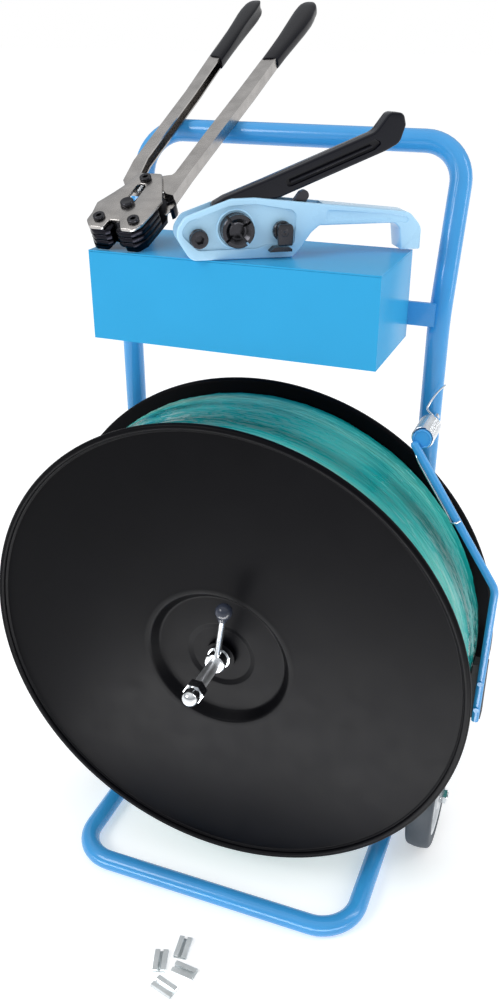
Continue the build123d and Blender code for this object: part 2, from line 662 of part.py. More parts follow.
# ================= strap tensioner =================
# Local x runs along the tool to its grip, local y is up, local z comes out of its front face.
WINDLASS = (42.4, 29.6)
GRIPPER = (89.5, 27.0)
NOSE_PIN = (4.0, 22.2)
CHEEK = 5.0
with BuildPart() as tensioner_body:
    with BuildSketch(TENSIONER.offset(-TENSIONER_DEPTH)):
        with BuildLine():
            outline(
                [
                (-4, -0.2), (101, -0.2), (109, 8), (121, 24), (129, 30.5), (210, 30.5), (216, 25), (219, 3),
                (240, 3), (240, 26), (226, 41), (126, 52), (62, 59), (38, 58.5), (-9, 42.5), (-20, 27),
                ],
                [12, 3, 6, 8, 4, 5, 4, 1, 1, 14, 14, 30, 20, 14, 12, 14],
            )
        make_face()
    extrude(amount=TENSIONER_DEPTH)
    with BuildSketch(TENSIONER.offset(-TENSIONER_DEPTH + CHEEK)):
        with Locations((56, 39)):
            Rectangle(160, 60)
    extrude(amount=TENSIONER_DEPTH - 2 * CHEEK, mode=Mode.SUBTRACT)
    with BuildSketch(TENSIONER.offset(-TENSIONER_DEPTH - 1)):
        with Locations(WINDLASS):
            Circle(17.2)
        with Locations(GRIPPER):
            Circle(6.1)
        with Locations(NOSE_PIN):
            Circle(5.0)
    extrude(amount=TENSIONER_DEPTH + 2, mode=Mode.SUBTRACT)
save(tensioner_body.part, "tensioner_body")

with BuildPart() as nose_roller:
    with BuildSketch(TENSIONER.offset(-TENSIONER_DEPTH)):
        with Locations(NOSE_PIN):
            Circle(4.95)
    extrude(amount=TENSIONER_DEPTH + 9)
    with BuildSketch(TENSIONER.offset(0.2)):
        with Locations(NOSE_PIN):
            Circle(9.5)
    extrude(amount=9)
    with BuildSketch(TENSIONER.offset(3)):
        with Locations(NOSE_PIN):
            RegularPolygon(3.5, 6)
    extrude(amount=10, mode=Mode.SUBTRACT)
save(nose_roller.part, "nose_roller")

# Windlass: a slotted drum that winds the strap, with its ratchet wheel between the cheeks.
WINDLASS_OUT = 14.0
with BuildPart() as windlass:
    with BuildSketch(TENSIONER.offset(-TENSIONER_DEPTH - 2)):
        with Locations(WINDLASS):
            Circle(12.0)
    extrude(amount=TENSIONER_DEPTH + 2)
    with BuildSketch(TENSIONER.offset(-CHEEK)):
        with Locations(WINDLASS):
            Circle(16.5)
    extrude(amount=CHEEK + WINDLASS_OUT)
    with BuildSketch(TENSIONER.offset(1.5)):
        with Locations(WINDLASS):
            Circle(7.0)
            Rectangle(2.4, 40, rotation=38)
            Rectangle(2.4, 40, rotation=-52)
    extrude(amount=WINDLASS_OUT, mode=Mode.SUBTRACT)
save(windlass.part, "windlass")

RATCHET_TEETH = 24
with BuildPart() as ratchet_wheel:
    with BuildSketch(TENSIONER.offset(-17.0)):
        with Locations(WINDLASS):
            Circle(18.5)
        with Locations(Location(WINDLASS)):
            with PolarLocations(19.0, RATCHET_TEETH):
                Rectangle(3.0, 1.6, mode=Mode.SUBTRACT)
        with Locations(WINDLASS):
            Circle(12.0, mode=Mode.SUBTRACT)
    extrude(amount=7.0)
save(ratchet_wheel.part, "ratchet_wheel")

# Main lever: a pressed channel on the windlass axis that runs up to a turned end.
LEVER_BACK = -TENSIONER_DEPTH + CHEEK + 0.5
LEVER_DEPTH = TENSIONER_DEPTH - 2 * CHEEK - 1.0
with BuildPart() as tension_lever:
    with BuildSketch(TENSIONER.offset(LEVER_BACK)):
        with BuildLine():
            outline(
                [
                (21, 38), (28, 18), (42, 9), (58, 14), (66, 34), (78, 55.5), (88, 57.5), (197, 99.5), (212, 107),
                (217.5, 124), (214.5, 135), (200, 136), (186, 118), (74, 75), (33, 60), (20, 53),
                ],
                [6, 8, 12, 12, 10, 6, 10, 20, 12, 6, 6, 8, 16, 20, 14, 6],
            )
        make_face()
    extrude(amount=LEVER_DEPTH)
    # Channel hollow under the long handle.
    with BuildSketch(TENSIONER.offset(LEVER_BACK + 3)):
        with BuildLine():
            Polyline((92, 61.5), (192, 100), (200, 112), (188, 114.5), (84, 74.5), close=True)
        make_face()
    extrude(amount=LEVER_DEPTH - 6, mode=Mode.SUBTRACT)
    # Room for the ratchet wheel and the windlass between the side plates.
    with BuildSketch(TENSIONER.offset(-17.3)):
        with Locations(WINDLASS):
            Circle(21.0)
    extrude(amount=7.6, mode=Mode.SUBTRACT)
    with BuildSketch(TENSIONER.offset(-TENSIONER_DEPTH)):
        with Locations(WINDLASS):
            Circle(12.1)
    extrude(amount=TENSIONER_DEPTH, mode=Mode.SUBTRACT)
save(tension_lever.part, "tension_lever")

# Gripper: an eccentric jaw on its own pin that a thumb lever lifts off the strap.
with BuildPart() as gripper_cam:
    with BuildSketch(TENSIONER.offset(-TENSIONER_DEPTH)):
        with Locations(GRIPPER):
            Circle(6.0)
    extrude(amount=TENSIONER_DEPTH + 14)
    with BuildSketch(TENSIONER.offset(0.4)):
        with Locations(GRIPPER):
            Circle(10.0)
        with Locations((GRIPPER[0] + 1.0, GRIPPER[1] - 4.5)):
            Circle(8.0)
    extrude(amount=13)
save(gripper_cam.part, "gripper_cam")

with BuildPart() as gripper_lever:
    with BuildSketch(TENSIONER.offset(-16.0)):
        with BuildLine():
            outline(
                [
                (81, 24), (86, 17.5), (95, 19), (103, 33), (114, 48.5), (120.5, 59), (116.5, 65), (110, 62.5),
                (101, 50.5), (89.5, 39),
                ],
                [4, 6, 6, 20, 10, 5, 5, 5, 20, 10],
            )
        make_face()
        with Locations(GRIPPER):
            Circle(6.05, mode=Mode.SUBTRACT)
    extrude(amount=7.0)
save(gripper_lever.part, "gripper_lever")

# Small hardened foot that the strap is gripped against.
with BuildPart() as gripper_foot:
    with BuildSketch(TENSIONER.offset(0.2)):
        with BuildLine():
            Polyline((75, 8), (98, 8), (98, 10.5), (94, 12.5), (80, 12.5), close=True)
        make_face()
    extrude(amount=11.0)
save(gripper_foot.part, "gripper_foot")

# ================= seal crimper =================
# Local x is across the jaws, local y runs up the handles, local z comes out of the front plate.
PLATE = 4.0
plate_outline = [
    (-33.5, -5), (-33.5, 8), (-36.5, 25.5), (-26, 46), (-18.5, 63), (-14.5, 84), (14, 85.2), (35, 39.5),
    (33.5, 18), (31.5, -4), (25, -14), (11, -14), (4, -1), (-8, -1), (-9.5, -15), (-26, -15),
]
plate_radii = [8, 4, 3, 3, 3, 3, 4, 3, 4, 8, 7, 3, 1, 1, 3, 8]


def head_plate(low, has_slot):
    """One cheek of the crimper's head between low and low + PLATE."""
    with BuildPart() as plate:
        with BuildSketch(SEALER.offset(low)):
            with BuildLine():
                outline(plate_outline, plate_radii)
            make_face()
            with Locations((-JAW_BOLT_X, 0), (JAW_BOLT_X, 0), (0, TOP_BOLT_Y)):
                Circle(4.05, mode=Mode.SUBTRACT)
            if has_slot:
                with BuildLine():
                    Polyline((-6.5, 23), (5.5, 23), (6, 64.5), (-6, 64.5), close=True)
                make_face(mode=Mode.SUBTRACT)
        extrude(amount=PLATE)
    return plate.part


save(head_plate(-PLATE, True), "sealer_front_plate")
save(head_plate(-SEALER_DEPTH, False), "sealer_rear_plate")

with BuildPart() as sealer_bolts:
    for x, y in ((-JAW_BOLT_X, 0), (JAW_BOLT_X, 0), (0, TOP_BOLT_Y)):
        with BuildSketch(SEALER.offset(-SEALER_DEPTH)):
            with Locations((x, y)):
                Circle(4.0)
        extrude(amount=SEALER_DEPTH)
        with BuildSketch(SEALER):
            with Locations((x, y)):
                Circle(6.4)
        extrude(amount=4.0)
        with BuildSketch(SEALER.offset(1.5)):
            with Locations((x, y)):
                RegularPolygon(3.0, 6)
        extrude(amount=4.0, mode=Mode.SUBTRACT)
save(sealer_bolts.part, "sealer_bolts")

# Collars on the top bolt, and the bracket with a spring clip at the head's right side.
ARM_FRONT = ARM_BACK + ARM_DEPTH
LUG_DEPTH = 4.4
BRACKET_X = 37.4
with BuildPart() as sealer_spacers:
    for low, high in (
        (-SEALER_DEPTH + PLATE + 0.05, ARM_BACK - 0.15),
        (ARM_BACK + LUG_DEPTH + 0.15, ARM_FRONT - LUG_DEPTH - 0.15),
    ):
        with BuildSketch(SEALER.offset(low)):
            with Locations((0, TOP_BOLT_Y)):
                Circle(9.0)
                Circle(4.05, mode=Mode.SUBTRACT)
        extrude(amount=high - low)
    with BuildSketch(SEALER.offset(-SEALER_DEPTH + PLATE + 0.05)):
        with BuildLine():
            Polyline(
                (33.3, 35), (BRACKET_X, 35), (BRACKET_X + 1.5, 36.5), (BRACKET_X + 1.5, 47),
                (BRACKET_X + 4, 51), (BRACKET_X + 2.5, 52), (BRACKET_X, 48), (BRACKET_X, 38), (33.3, 38),
                close=True,
            )
        make_face()
    extrude(amount=10.0)
save(sealer_spacers.part, "sealer_spacers")

# Jaws: they turn on the lower bolts, and each reaches up its side of the head.
JAW_LOW = -SEALER_DEPTH + PLATE + CLEAR
JAW_DEPTH = SEALER_DEPTH - 2 * PLATE - 2 * CLEAR
for side, word in ((-1, "left"), (1, "right")):
    jaw_outline = [
        (5.5, -3), (8.5, -13), (13, -14.8), (24, -14.8), (33, -6), (34.5, 6), (34.8, 29), (27, 31),
        (22, 14), (9, 9),
    ]
    with BuildPart() as jaw:
        with BuildSketch(SEALER.offset(JAW_LOW)):
            with BuildLine():
                outline(
                [
                    *[(side * x, y) for x, y in jaw_outline],
                ],
                [3, 4, 3, 8, 8, 10, 3, 4, 6, 4],
            )
            make_face()
            with Locations((side * JAW_BOLT_X, 0)):
                Circle(4.08, mode=Mode.SUBTRACT)
        extrude(amount=JAW_DEPTH)
    save(jaw.part, f"{word}_jaw")

# Handles: pressed channels, open towards each other, whose lugs turn on the top bolt.
ARM_WALL = 1.8
arm_shapes = {
    "left": [
        (-24, 66), (-30, 74), (-35.5, 112), (-36.3, 260), (-40.6, 352), (-44, 482),
        (-26, 482), (-25.2, 352), (-22.2, 260), (-21.2, 120), (-16, 88), (-17, 70),
    ],
    "right": [
        (40, 55), (40.3, 100), (44, 190), (47.6, 270), (49.6, 352), (52, 482),
        (34, 482), (32.4, 352), (30, 270), (26, 170), (24, 96), (17.5, 78), (20, 66), (31, 57),
    ],
}
grip_shapes = {
    "left": [(-41.8, 347), (-48, 455), (-45, 500), (-22, 500), (-18.5, 455), (-22.8, 338)],
    "right": [(51.4, 338), (58.8, 440), (54, 498), (31, 498), (29, 455), (31, 352)],
}
for word, side in (("left", -1), ("right", 1)):
    shape = arm_shapes[word]
    outer_count = 6
    outer = shape[:outer_count]
    inner = shape[outer_count:]
    lug_low = ARM_BACK if word == "left" else ARM_FRONT - LUG_DEPTH
    with BuildPart() as arm:
        with BuildSketch(SEALER.offset(ARM_BACK)):
            with BuildLine():
                Polyline(*shape, close=True)
            make_face()
        extrude(amount=ARM_DEPTH)
        with BuildSketch(SEALER.offset(ARM_BACK + ARM_WALL)):
            with BuildLine():
                web = [(x - side * ARM_WALL, y) for x, y in outer[1:]]
                mouth = [(x - side * 8, y) for x, y in inner]
                Polyline((web[0][0], web[0][1] + 6), *web[1:-1], (web[-1][0], 480), (mouth[0][0], 480), *mouth[1:], close=True)
            make_face()
        extrude(amount=ARM_DEPTH - 2 * ARM_WALL, mode=Mode.SUBTRACT)
        with BuildSketch(SEALER.offset(ARM_BACK)):
            with Locations((0, TOP_BOLT_Y)):
                Circle(16.0)
        extrude(amount=ARM_DEPTH, mode=Mode.SUBTRACT)
        with BuildSketch(SEALER.offset(lug_low)):
            with BuildLine():
                Polyline(
                    (side * 24, 92), (side * 28, 76), (side * 22, 66), (-side * 5, TOP_BOLT_Y - 8),
                    (-side * 9, TOP_BOLT_Y), (-side * 5, TOP_BOLT_Y + 8), close=True,
                )
            make_face()
            with Locations((0, TOP_BOLT_Y)):
                Circle(4.08, mode=Mode.SUBTRACT)
        extrude(amount=LUG_DEPTH)
    save(arm.part, f"{word}_arm")

    with BuildPart() as grip:
        with BuildSketch(SEALER.offset(ARM_BACK - 1.6)):
            with BuildLine():
                outline(grip_shapes[word], [1, 40, 10, 10, 40, 1])
            make_face()
        extrude(amount=ARM_DEPTH + 3.2)
        with BuildSketch(SEALER.offset(ARM_BACK - 0.05)):
            with BuildLine():
                Polyline(
                    *[(x + side * 0.1, y) for x, y in outer[3:-1]],
                    (outer[-1][0] + side * 0.1, 482.1), (inner[0][0] - side * 0.1, 482.1),
                    *[(x - side * 0.1, y) for x, y in inner[1:3]], close=True,
                )
            make_face()
        extrude(amount=ARM_DEPTH + 0.1, mode=Mode.SUBTRACT)
    save(grip.part, f"{word}_grip")

# Toggle pin that slides in the front plate's slot as the handles open.
TOGGLE_Y = 27.6
with BuildPart() as toggle_pin:
    with BuildSketch(SEALER.offset(-3.5)):
        with Locations((-0.5, TOGGLE_Y)):
            Circle(3.9)
    extrude(amount=4.0)
    with BuildSketch(SEALER.offset(0.3)):
        with Locations((-0.5, TOGGLE_Y)):
            RegularPolygon(7.4, 6)
    extrude(amount=3.6)
save(toggle_pin.part, "toggle_pin")

# ================= loose seals =================
# Open strap seals on the floor in front of the cart: x, y and turn of each.
SEALS = ((-12.5, -351.0, -72.0), (5.5, -324.5, -82.0), (20.5, -353.5, -4.0), (7.5, -381.0, -14.0))
SEAL_LENGTH = 29.0
SEAL_WIDTH = 17.0
SEAL_HEIGHT = 5.0
SEAL_SHEET = 0.9
with BuildPart() as crimp_seals:
    for x, y, turn in SEALS:
        floor = Plane(origin=(x, FRAME_Y + y, 0)).rotated((0, 0, turn))
        end = Plane(
            origin=floor.origin - floor.x_dir * SEAL_LENGTH / 2,
            x_dir=floor.y_dir,
            z_dir=floor.x_dir,
        )
        with BuildSketch(end):
            with Locations((0, SEAL_HEIGHT / 2)):
                RectangleRounded(SEAL_WIDTH, SEAL_HEIGHT, 1.2)
                Rectangle(SEAL_WIDTH - 2 * SEAL_SHEET, SEAL_HEIGHT - 2 * SEAL_SHEET, mode=Mode.SUBTRACT)
            with Locations((0, SEAL_HEIGHT - SEAL_SHEET / 2)):
                Rectangle(4.0, 2 * SEAL_SHEET, mode=Mode.SUBTRACT)
        extrude(amount=SEAL_LENGTH)
save(crimp_seals.part, "crimp_seals")
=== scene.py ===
"""Looks of a strap dispensing cart: bent tube frame, reel of strap, tool box and two hand tools."""
import json
import math

import bmesh
import bpy
from mathutils import Matrix, Vector, noise


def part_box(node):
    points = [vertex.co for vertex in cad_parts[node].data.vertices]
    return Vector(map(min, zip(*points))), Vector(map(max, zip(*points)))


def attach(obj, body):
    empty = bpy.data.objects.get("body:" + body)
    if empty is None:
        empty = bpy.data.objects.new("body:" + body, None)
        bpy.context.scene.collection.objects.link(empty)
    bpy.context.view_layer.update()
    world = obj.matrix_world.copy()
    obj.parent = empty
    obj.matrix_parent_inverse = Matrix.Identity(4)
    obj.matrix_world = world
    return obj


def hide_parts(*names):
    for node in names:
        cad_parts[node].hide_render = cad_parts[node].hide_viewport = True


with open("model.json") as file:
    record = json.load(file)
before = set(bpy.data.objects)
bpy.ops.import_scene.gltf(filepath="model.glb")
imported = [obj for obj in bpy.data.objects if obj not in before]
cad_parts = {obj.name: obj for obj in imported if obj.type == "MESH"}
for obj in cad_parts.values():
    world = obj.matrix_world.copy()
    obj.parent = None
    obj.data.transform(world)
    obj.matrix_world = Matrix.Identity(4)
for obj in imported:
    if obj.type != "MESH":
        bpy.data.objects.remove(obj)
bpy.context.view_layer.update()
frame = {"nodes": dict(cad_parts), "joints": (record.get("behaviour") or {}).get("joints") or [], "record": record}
NODES = frame["nodes"]
JOINTS = {joint["name"]: joint for joint in frame["joints"]}
MM = 0.001


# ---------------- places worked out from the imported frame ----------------
def middle(node):
    low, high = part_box(node)
    return (Vector(low) + Vector(high)) / 2


FRAME_Y = middle("bearing_housing").y
REEL = middle("strap_coil")
SPINDLE_X = 0.0


def axes(origin, x, y, z):
    """Matrix from millimetres in a local frame to metres in the row frame."""
    columns = [Vector(x) * MM, Vector(y) * MM, Vector(z) * MM]
    rows = [[column[i] for column in columns] + [Vector(origin)[i]] for i in range(3)]
    return Matrix(rows + [[0, 0, 0, 1]])


WORLD = axes((0, 0, 0), (1, 0, 0), (0, 1, 0), (0, 0, 1))
# On the reel's axis: x right, y up, z towards the front.
REEL_AT = axes((SPINDLE_X, REEL.y, REEL.z), (1, 0, 0), (0, 0, 1), (0, -1, 0))
REAR_AT = axes((SPINDLE_X, REEL.y, REEL.z), (-1, 0, 0), (0, 0, 1), (0, 1, 0))

WINDLASS = (42.4, 29.6)
GRIPPER = (89.5, 27.0)
NOSE_PIN = (4.0, 22.2)
TOP_BOLT_Y = 72.8
JAW_BOLT_X = 20.3
TOGGLE_Y = 27.6


def tensioner_frame():
    joint = JOINTS["windlass_spin"]
    z = Vector(joint["axis"])
    x = Vector((0, 0, 1)).cross(z)
    y = z.cross(x)
    origin = Vector(joint["pos_m"]) - x * WINDLASS[0] * MM - y * WINDLASS[1] * MM
    return axes(origin, x, y, z)


def sealer_frame():
    joint = JOINTS["sealer_left_handle_open"]
    z = Vector(joint["axis"])
    y = Vector(JOINTS["toggle_slide"]["axis"])
    x = y.cross(z)
    return axes(Vector(joint["pos_m"]) - y * TOP_BOLT_Y * MM, x, y, z)


TENSIONER = tensioner_frame()
SEALER = sealer_frame()


# ---------------- mesh helpers ----------------
def link(mesh, name, mat, body, sharp=35.0, replaces=()):
    """Makes a piece from a mesh: smooth, with sharp edges over an angle, riding on its body."""
    piece = bpy.data.objects.new(name, mesh)
    bpy.context.scene.collection.objects.link(piece)
    mesh.shade_smooth()
    mesh.set_sharp_from_angle(angle=math.radians(sharp))
    mesh.materials.clear()
    mesh.materials.append(mat)
    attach(piece, body)
    if replaces:
        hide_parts(*replaces)
    return piece


def to_mesh(bm, name):
    bmesh.ops.recalc_face_normals(bm, faces=bm.faces)
    mesh = bpy.data.meshes.new(name)
    bm.to_mesh(mesh)
    bm.free()
    return mesh


def rounded(points, radii, step=12.0):
    """A closed outline whose corners are arcs of the given radii."""
    if not isinstance(radii, (list, tuple)):
        radii = [radii] * len(points)
    loop = []
    count = len(points)
    for i, radius in enumerate(radii):
        corner = Vector(points[i])
        before = (Vector(points[i - 1]) - corner)
        after = (Vector(points[(i + 1) % count]) - corner)
        half = before.angle(after) / 2
        reach = min(radius / math.tan(half), before.length * 0.49, after.length * 0.49)
        radius = reach * math.tan(half)
        if radius < 0.05 or half > math.radians(89.5):
            loop.append(corner)
            continue
        start = corner + before.normalized() * reach
        end = corner + after.normalized() * reach
        centre = corner + (before.normalized() + after.normalized()).normalized() * radius / math.sin(half)
        a, b = start - centre, end - centre
        turn = a.angle(b)
        sign = 1 if a.x * b.y - a.y * b.x > 0 else -1
        pieces = max(2, int(math.degrees(turn) / step))
        for k in range(pieces + 1):
            angle = sign * turn * k / pieces
            c, s = math.cos(angle), math.sin(angle)
            loop.append(centre + Vector((a.x * c - a.y * s, a.x * s + a.y * c)))
    return loop


def circle(centre, radius, steps=40):
    return [
        Vector((
            centre[0] + radius * math.cos(2 * math.pi * k / steps),
            centre[1] + radius * math.sin(2 * math.pi * k / steps),
        ))
        for k in range(steps)
    ]


def hexagon(centre, radius, turn=0.0):
    return [
        Vector((
            centre[0] + radius * math.cos(math.radians(60 * k + turn)),
            centre[1] + radius * math.sin(math.radians(60 * k + turn)),
        ))
        for k in range(6)
    ]


def plate_bm(loops, low, high, edge=0.3, segments=2):
    """A plate with holes between two heights in a local frame, its rim edges rounded."""
    bm = bmesh.new()
    edges = []
    for loop in loops:
        verts = [bm.verts.new((p[0], p[1], low)) for p in loop]
        edges += [bm.edges.new((verts[i - 1], verts[i])) for i in range(len(verts))]
    bmesh.ops.triangle_fill(bm, use_beauty=True, use_dissolve=False, edges=edges)
    faces = list(bm.faces)
    out = bmesh.ops.extrude_face_region(bm, geom=faces)
    top = [v for v in out["geom"] if isinstance(v, bmesh.types.BMVert)]
    bmesh.ops.translate(bm, verts=top, vec=(0, 0, high - low))
    bmesh.ops.recalc_face_normals(bm, faces=bm.faces)
    if edge > 0:
        bm.normal_update()
        rim = [
            e for e in bm.edges
            if len(e.link_faces) == 2 and abs(e.verts[0].co.z - e.verts[1].co.z) < 1e-6
            and e.calc_face_angle(0) > math.radians(60)
        ]
        bmesh.ops.bevel(
            bm, geom=rim, offset=edge, segments=segments, profile=0.5, affect="EDGES", clamp_overlap=False
        )
    return bm


def plate(name, loops, low, high, at, mat, body, edge=0.3, segments=2, replaces=()):
    bm = plate_bm(loops, low, high, edge, segments)
    bm.transform(at)
    return link(to_mesh(bm, name), name, mat, body, replaces=replaces)


def lathe_bm(profile, steps=96, closed=True):
    """A solid of revolution round local z from (radius, height) points."""
    bm = bmesh.new()
    rings = []
    for radius, height in profile:
        if radius < 1e-6:
            rings.append([bm.verts.new((0, 0, height))])
            continue
        rings.append([
            bm.verts.new((
                radius * math.cos(2 * math.pi * k / steps), radius * math.sin(2 * math.pi * k / steps), height
            ))
            for k in range(steps)
        ])
    pairs = list(zip(rings, rings[1:]))
    if closed:
        pairs.append((rings[-1], rings[0]))
    for a, b in pairs:
        for k in range(steps):
            n = (k + 1) % steps
            if len(a) == 1 and len(b) == 1:
                continue
            if len(a) == 1:
                bm.faces.new((a[0], b[k], b[n]))
            elif len(b) == 1:
                bm.faces.new((a[k], b[0], a[n]))
            else:
                bm.faces.new((a[k], b[k], b[n], a[n]))
    return bm


def lathe(name, profile, at, mat, body, steps=96, closed=True, sharp=35.0, replaces=()):
    bm = lathe_bm(profile, steps, closed)
    bm.transform(at)
    return link(to_mesh(bm, name), name, mat, body, sharp, replaces)


def shifted(at, x, y, z=0.0):
    return at @ Matrix.Translation((x, y, z))


def smooth_path(points, steps):
    """Catmull-Rom curve through points."""
    vectors = [Vector(p) for p in points]
    vectors = [vectors[0] * 2 - vectors[1]] + vectors + [vectors[-1] * 2 - vectors[-2]]
    result = []
    for i in range(1, len(vectors) - 2):
        a, b, c, d = vectors[i - 1:i + 3]
        for k in range(steps):
            t = k / steps
            result.append(0.5 * (
                2 * b + (c - a) * t + (2 * a - 5 * b + 4 * c - d) * t * t + (3 * b - a - 3 * c + d) * t ** 3
            ))
    result.append(vectors[-2])
    return result


def wire_mesh(name, points, radius, at, sides=4):
    """A round wire through points."""
    curve = bpy.data.curves.new(name, "CURVE")
    curve.dimensions = "3D"
    spline = curve.splines.new("POLY")
    spline.points.add(len(points) - 1)
    for target, point in zip(spline.points, points):
        target.co = (*point, 1)
    curve.bevel_depth = radius
    curve.bevel_resolution = sides
    curve.use_fill_caps = True
    holder = bpy.data.objects.new(name + "_path", curve)
    mesh = bpy.data.meshes.new_from_object(holder)
    bpy.data.objects.remove(holder)
    mesh.transform(at)
    return mesh


def combine(bms):
    """Several shells as one mesh."""
    whole = bmesh.new()
    for bm in bms:
        mesh = bpy.data.meshes.new("part")
        bm.to_mesh(mesh)
        bm.free()
        whole.from_mesh(mesh)
        bpy.data.meshes.remove(mesh)
    return whole


def cut(bm, tools):
    """A bmesh with others cut out of it, kept as one clean mesh."""
    base_mesh = bpy.data.meshes.new("base")
    bm.to_mesh(base_mesh)
    bm.free()
    base = bpy.data.objects.new("base", base_mesh)
    bpy.context.scene.collection.objects.link(base)
    helpers = []
    for tool in tools:
        mesh = bpy.data.meshes.new("tool")
        tool.to_mesh(mesh)
        tool.free()
        helper = bpy.data.objects.new("tool", mesh)
        bpy.context.scene.collection.objects.link(helper)
        helpers.append(helper)
        modifier = base.modifiers.new("cut", "BOOLEAN")
        modifier.operation = "DIFFERENCE"
        modifier.solver = "EXACT"
        modifier.object = helper
    bpy.context.view_layer.update()
    done = bpy.data.meshes.new_from_object(base.evaluated_get(bpy.context.evaluated_depsgraph_get()))
    for helper in helpers:
        bpy.data.objects.remove(helper)
    bpy.data.objects.remove(base)
    result = bmesh.new()
    result.from_mesh(done)
    bpy.data.meshes.remove(done)
    return result


# ---------------- materials ----------------
def new_material(name, slot):
    mat = bpy.data.materials.new(name)
    mat.use_nodes = True
    mat["slot"] = slot
    return mat, mat.node_tree.nodes, mat.node_tree.links, mat.node_tree.nodes["Principled BSDF"]


def texture(nodes, links, kind, scale, stretch=(1, 1, 1), detail=3.0):
    """A texture node on object coordinates, stretched."""
    place = nodes.new("ShaderNodeTexCoord")
    mapping = nodes.new("ShaderNodeMapping")
    mapping.inputs["Scale"].default_value = stretch
    links.new(place.outputs["Object"], mapping.inputs["Vector"])
    node = nodes.new(kind)
    node.inputs["Scale"].default_value = scale
    if "Detail" in node.inputs:
        node.inputs["Detail"].default_value = detail
    links.new(mapping.outputs["Vector"], node.inputs["Vector"])
    return node


def ramp(nodes, links, source, stops):
    node = nodes.new("ShaderNodeValToRGB")
    links.new(source, node.inputs["Fac"])
    while len(node.color_ramp.elements) < len(stops):
        node.color_ramp.elements.new(0.5)
    for element, (place, colour) in zip(node.color_ramp.elements, stops):
        element.position = place
        element.color = (*colour, 1)
    return node.outputs["Color"]


def spread(nodes, links, source, low, high):
    node = nodes.new("ShaderNodeMapRange")
    node.inputs["To Min"].default_value = low
    node.inputs["To Max"].default_value = high
    links.new(source, node.inputs["Value"])
    return node.outputs["Result"]


def bumped(nodes, links, shader, source, distance):
    node = nodes.new("ShaderNodeBump")
    node.inputs["Distance"].default_value = distance
    node.inputs["Strength"].default_value = 1.0
    links.new(source, node.inputs["Height"])
    links.new(node.outputs["Normal"], shader.inputs["Normal"])
    return node


def tone(colour, factor):
    return tuple(min(1.0, c * factor) for c in colour)


def mottled(nodes, links, cloud, colour, vary):
    """A colour that drifts a little darker and lighter with a noise."""
    stops = [(0.3, tone(colour, 1 - vary)), (0.7, tone(colour, 1 + vary))]
    return ramp(nodes, links, cloud.outputs["Fac"], stops)


def painted(name, slot, colour, rough=0.3, coat=0.0, peel=0.00002, vary=0.07, shine=0.4):
    """Paint or powder coat: orange peel, slightly uneven colour and gloss."""
    mat, nodes, links, shader = new_material(name, slot)
    cloud = texture(nodes, links, "ShaderNodeTexNoise", 9.0)
    links.new(mottled(nodes, links, cloud, colour, vary), shader.inputs["Base Color"])
    grime = texture(nodes, links, "ShaderNodeTexNoise", 35.0, detail=6.0)
    gloss = spread(nodes, links, grime.outputs["Fac"], rough * 0.8, rough * 1.25)
    links.new(gloss, shader.inputs["Roughness"])
    peel_noise = texture(nodes, links, "ShaderNodeTexNoise", 420.0, detail=2.0)
    bumped(nodes, links, shader, peel_noise.outputs["Fac"], peel)
    shader.inputs["Coat Weight"].default_value = coat
    shader.inputs["Coat Roughness"].default_value = 0.06
    shader.inputs["Specular IOR Level"].default_value = shine
    return mat


def metal(name, slot, colour, rough=0.25, stretch=(1, 1, 1), grain=0.00001, vary=0.12, partly=1.0):
    """Plated or bare metal: fine grain along one way, patchy gloss."""
    mat, nodes, links, shader = new_material(name, slot)
    shader.inputs["Metallic"].default_value = partly
    cloud = texture(nodes, links, "ShaderNodeTexNoise", 60.0, detail=5.0)
    links.new(mottled(nodes, links, cloud, colour, vary), shader.inputs["Base Color"])
    brush = texture(nodes, links, "ShaderNodeTexNoise", 300.0, stretch, 4.0)
    gloss = spread(nodes, links, brush.outputs["Fac"], rough * 0.6, rough * 1.5)
    links.new(gloss, shader.inputs["Roughness"])
    bumped(nodes, links, shader, brush.outputs["Fac"], grain)
    return mat


def plastic(name, slot, colour, rough=0.4, grain=0.00003, scale=300.0, vary=0.1, shine=0.4):
    mat, nodes, links, shader = new_material(name, slot)
    cloud = texture(nodes, links, "ShaderNodeTexNoise", 25.0, detail=5.0)
    links.new(mottled(nodes, links, cloud, colour, vary), shader.inputs["Base Color"])
    fine = texture(nodes, links, "ShaderNodeTexNoise", scale, detail=4.0)
    links.new(spread(nodes, links, fine.outputs["Fac"], rough * 0.8, rough * 1.2), shader.inputs["Roughness"])
    bumped(nodes, links, shader, fine.outputs["Fac"], grain)
    shader.inputs["Specular IOR Level"].default_value = shine
    return mat


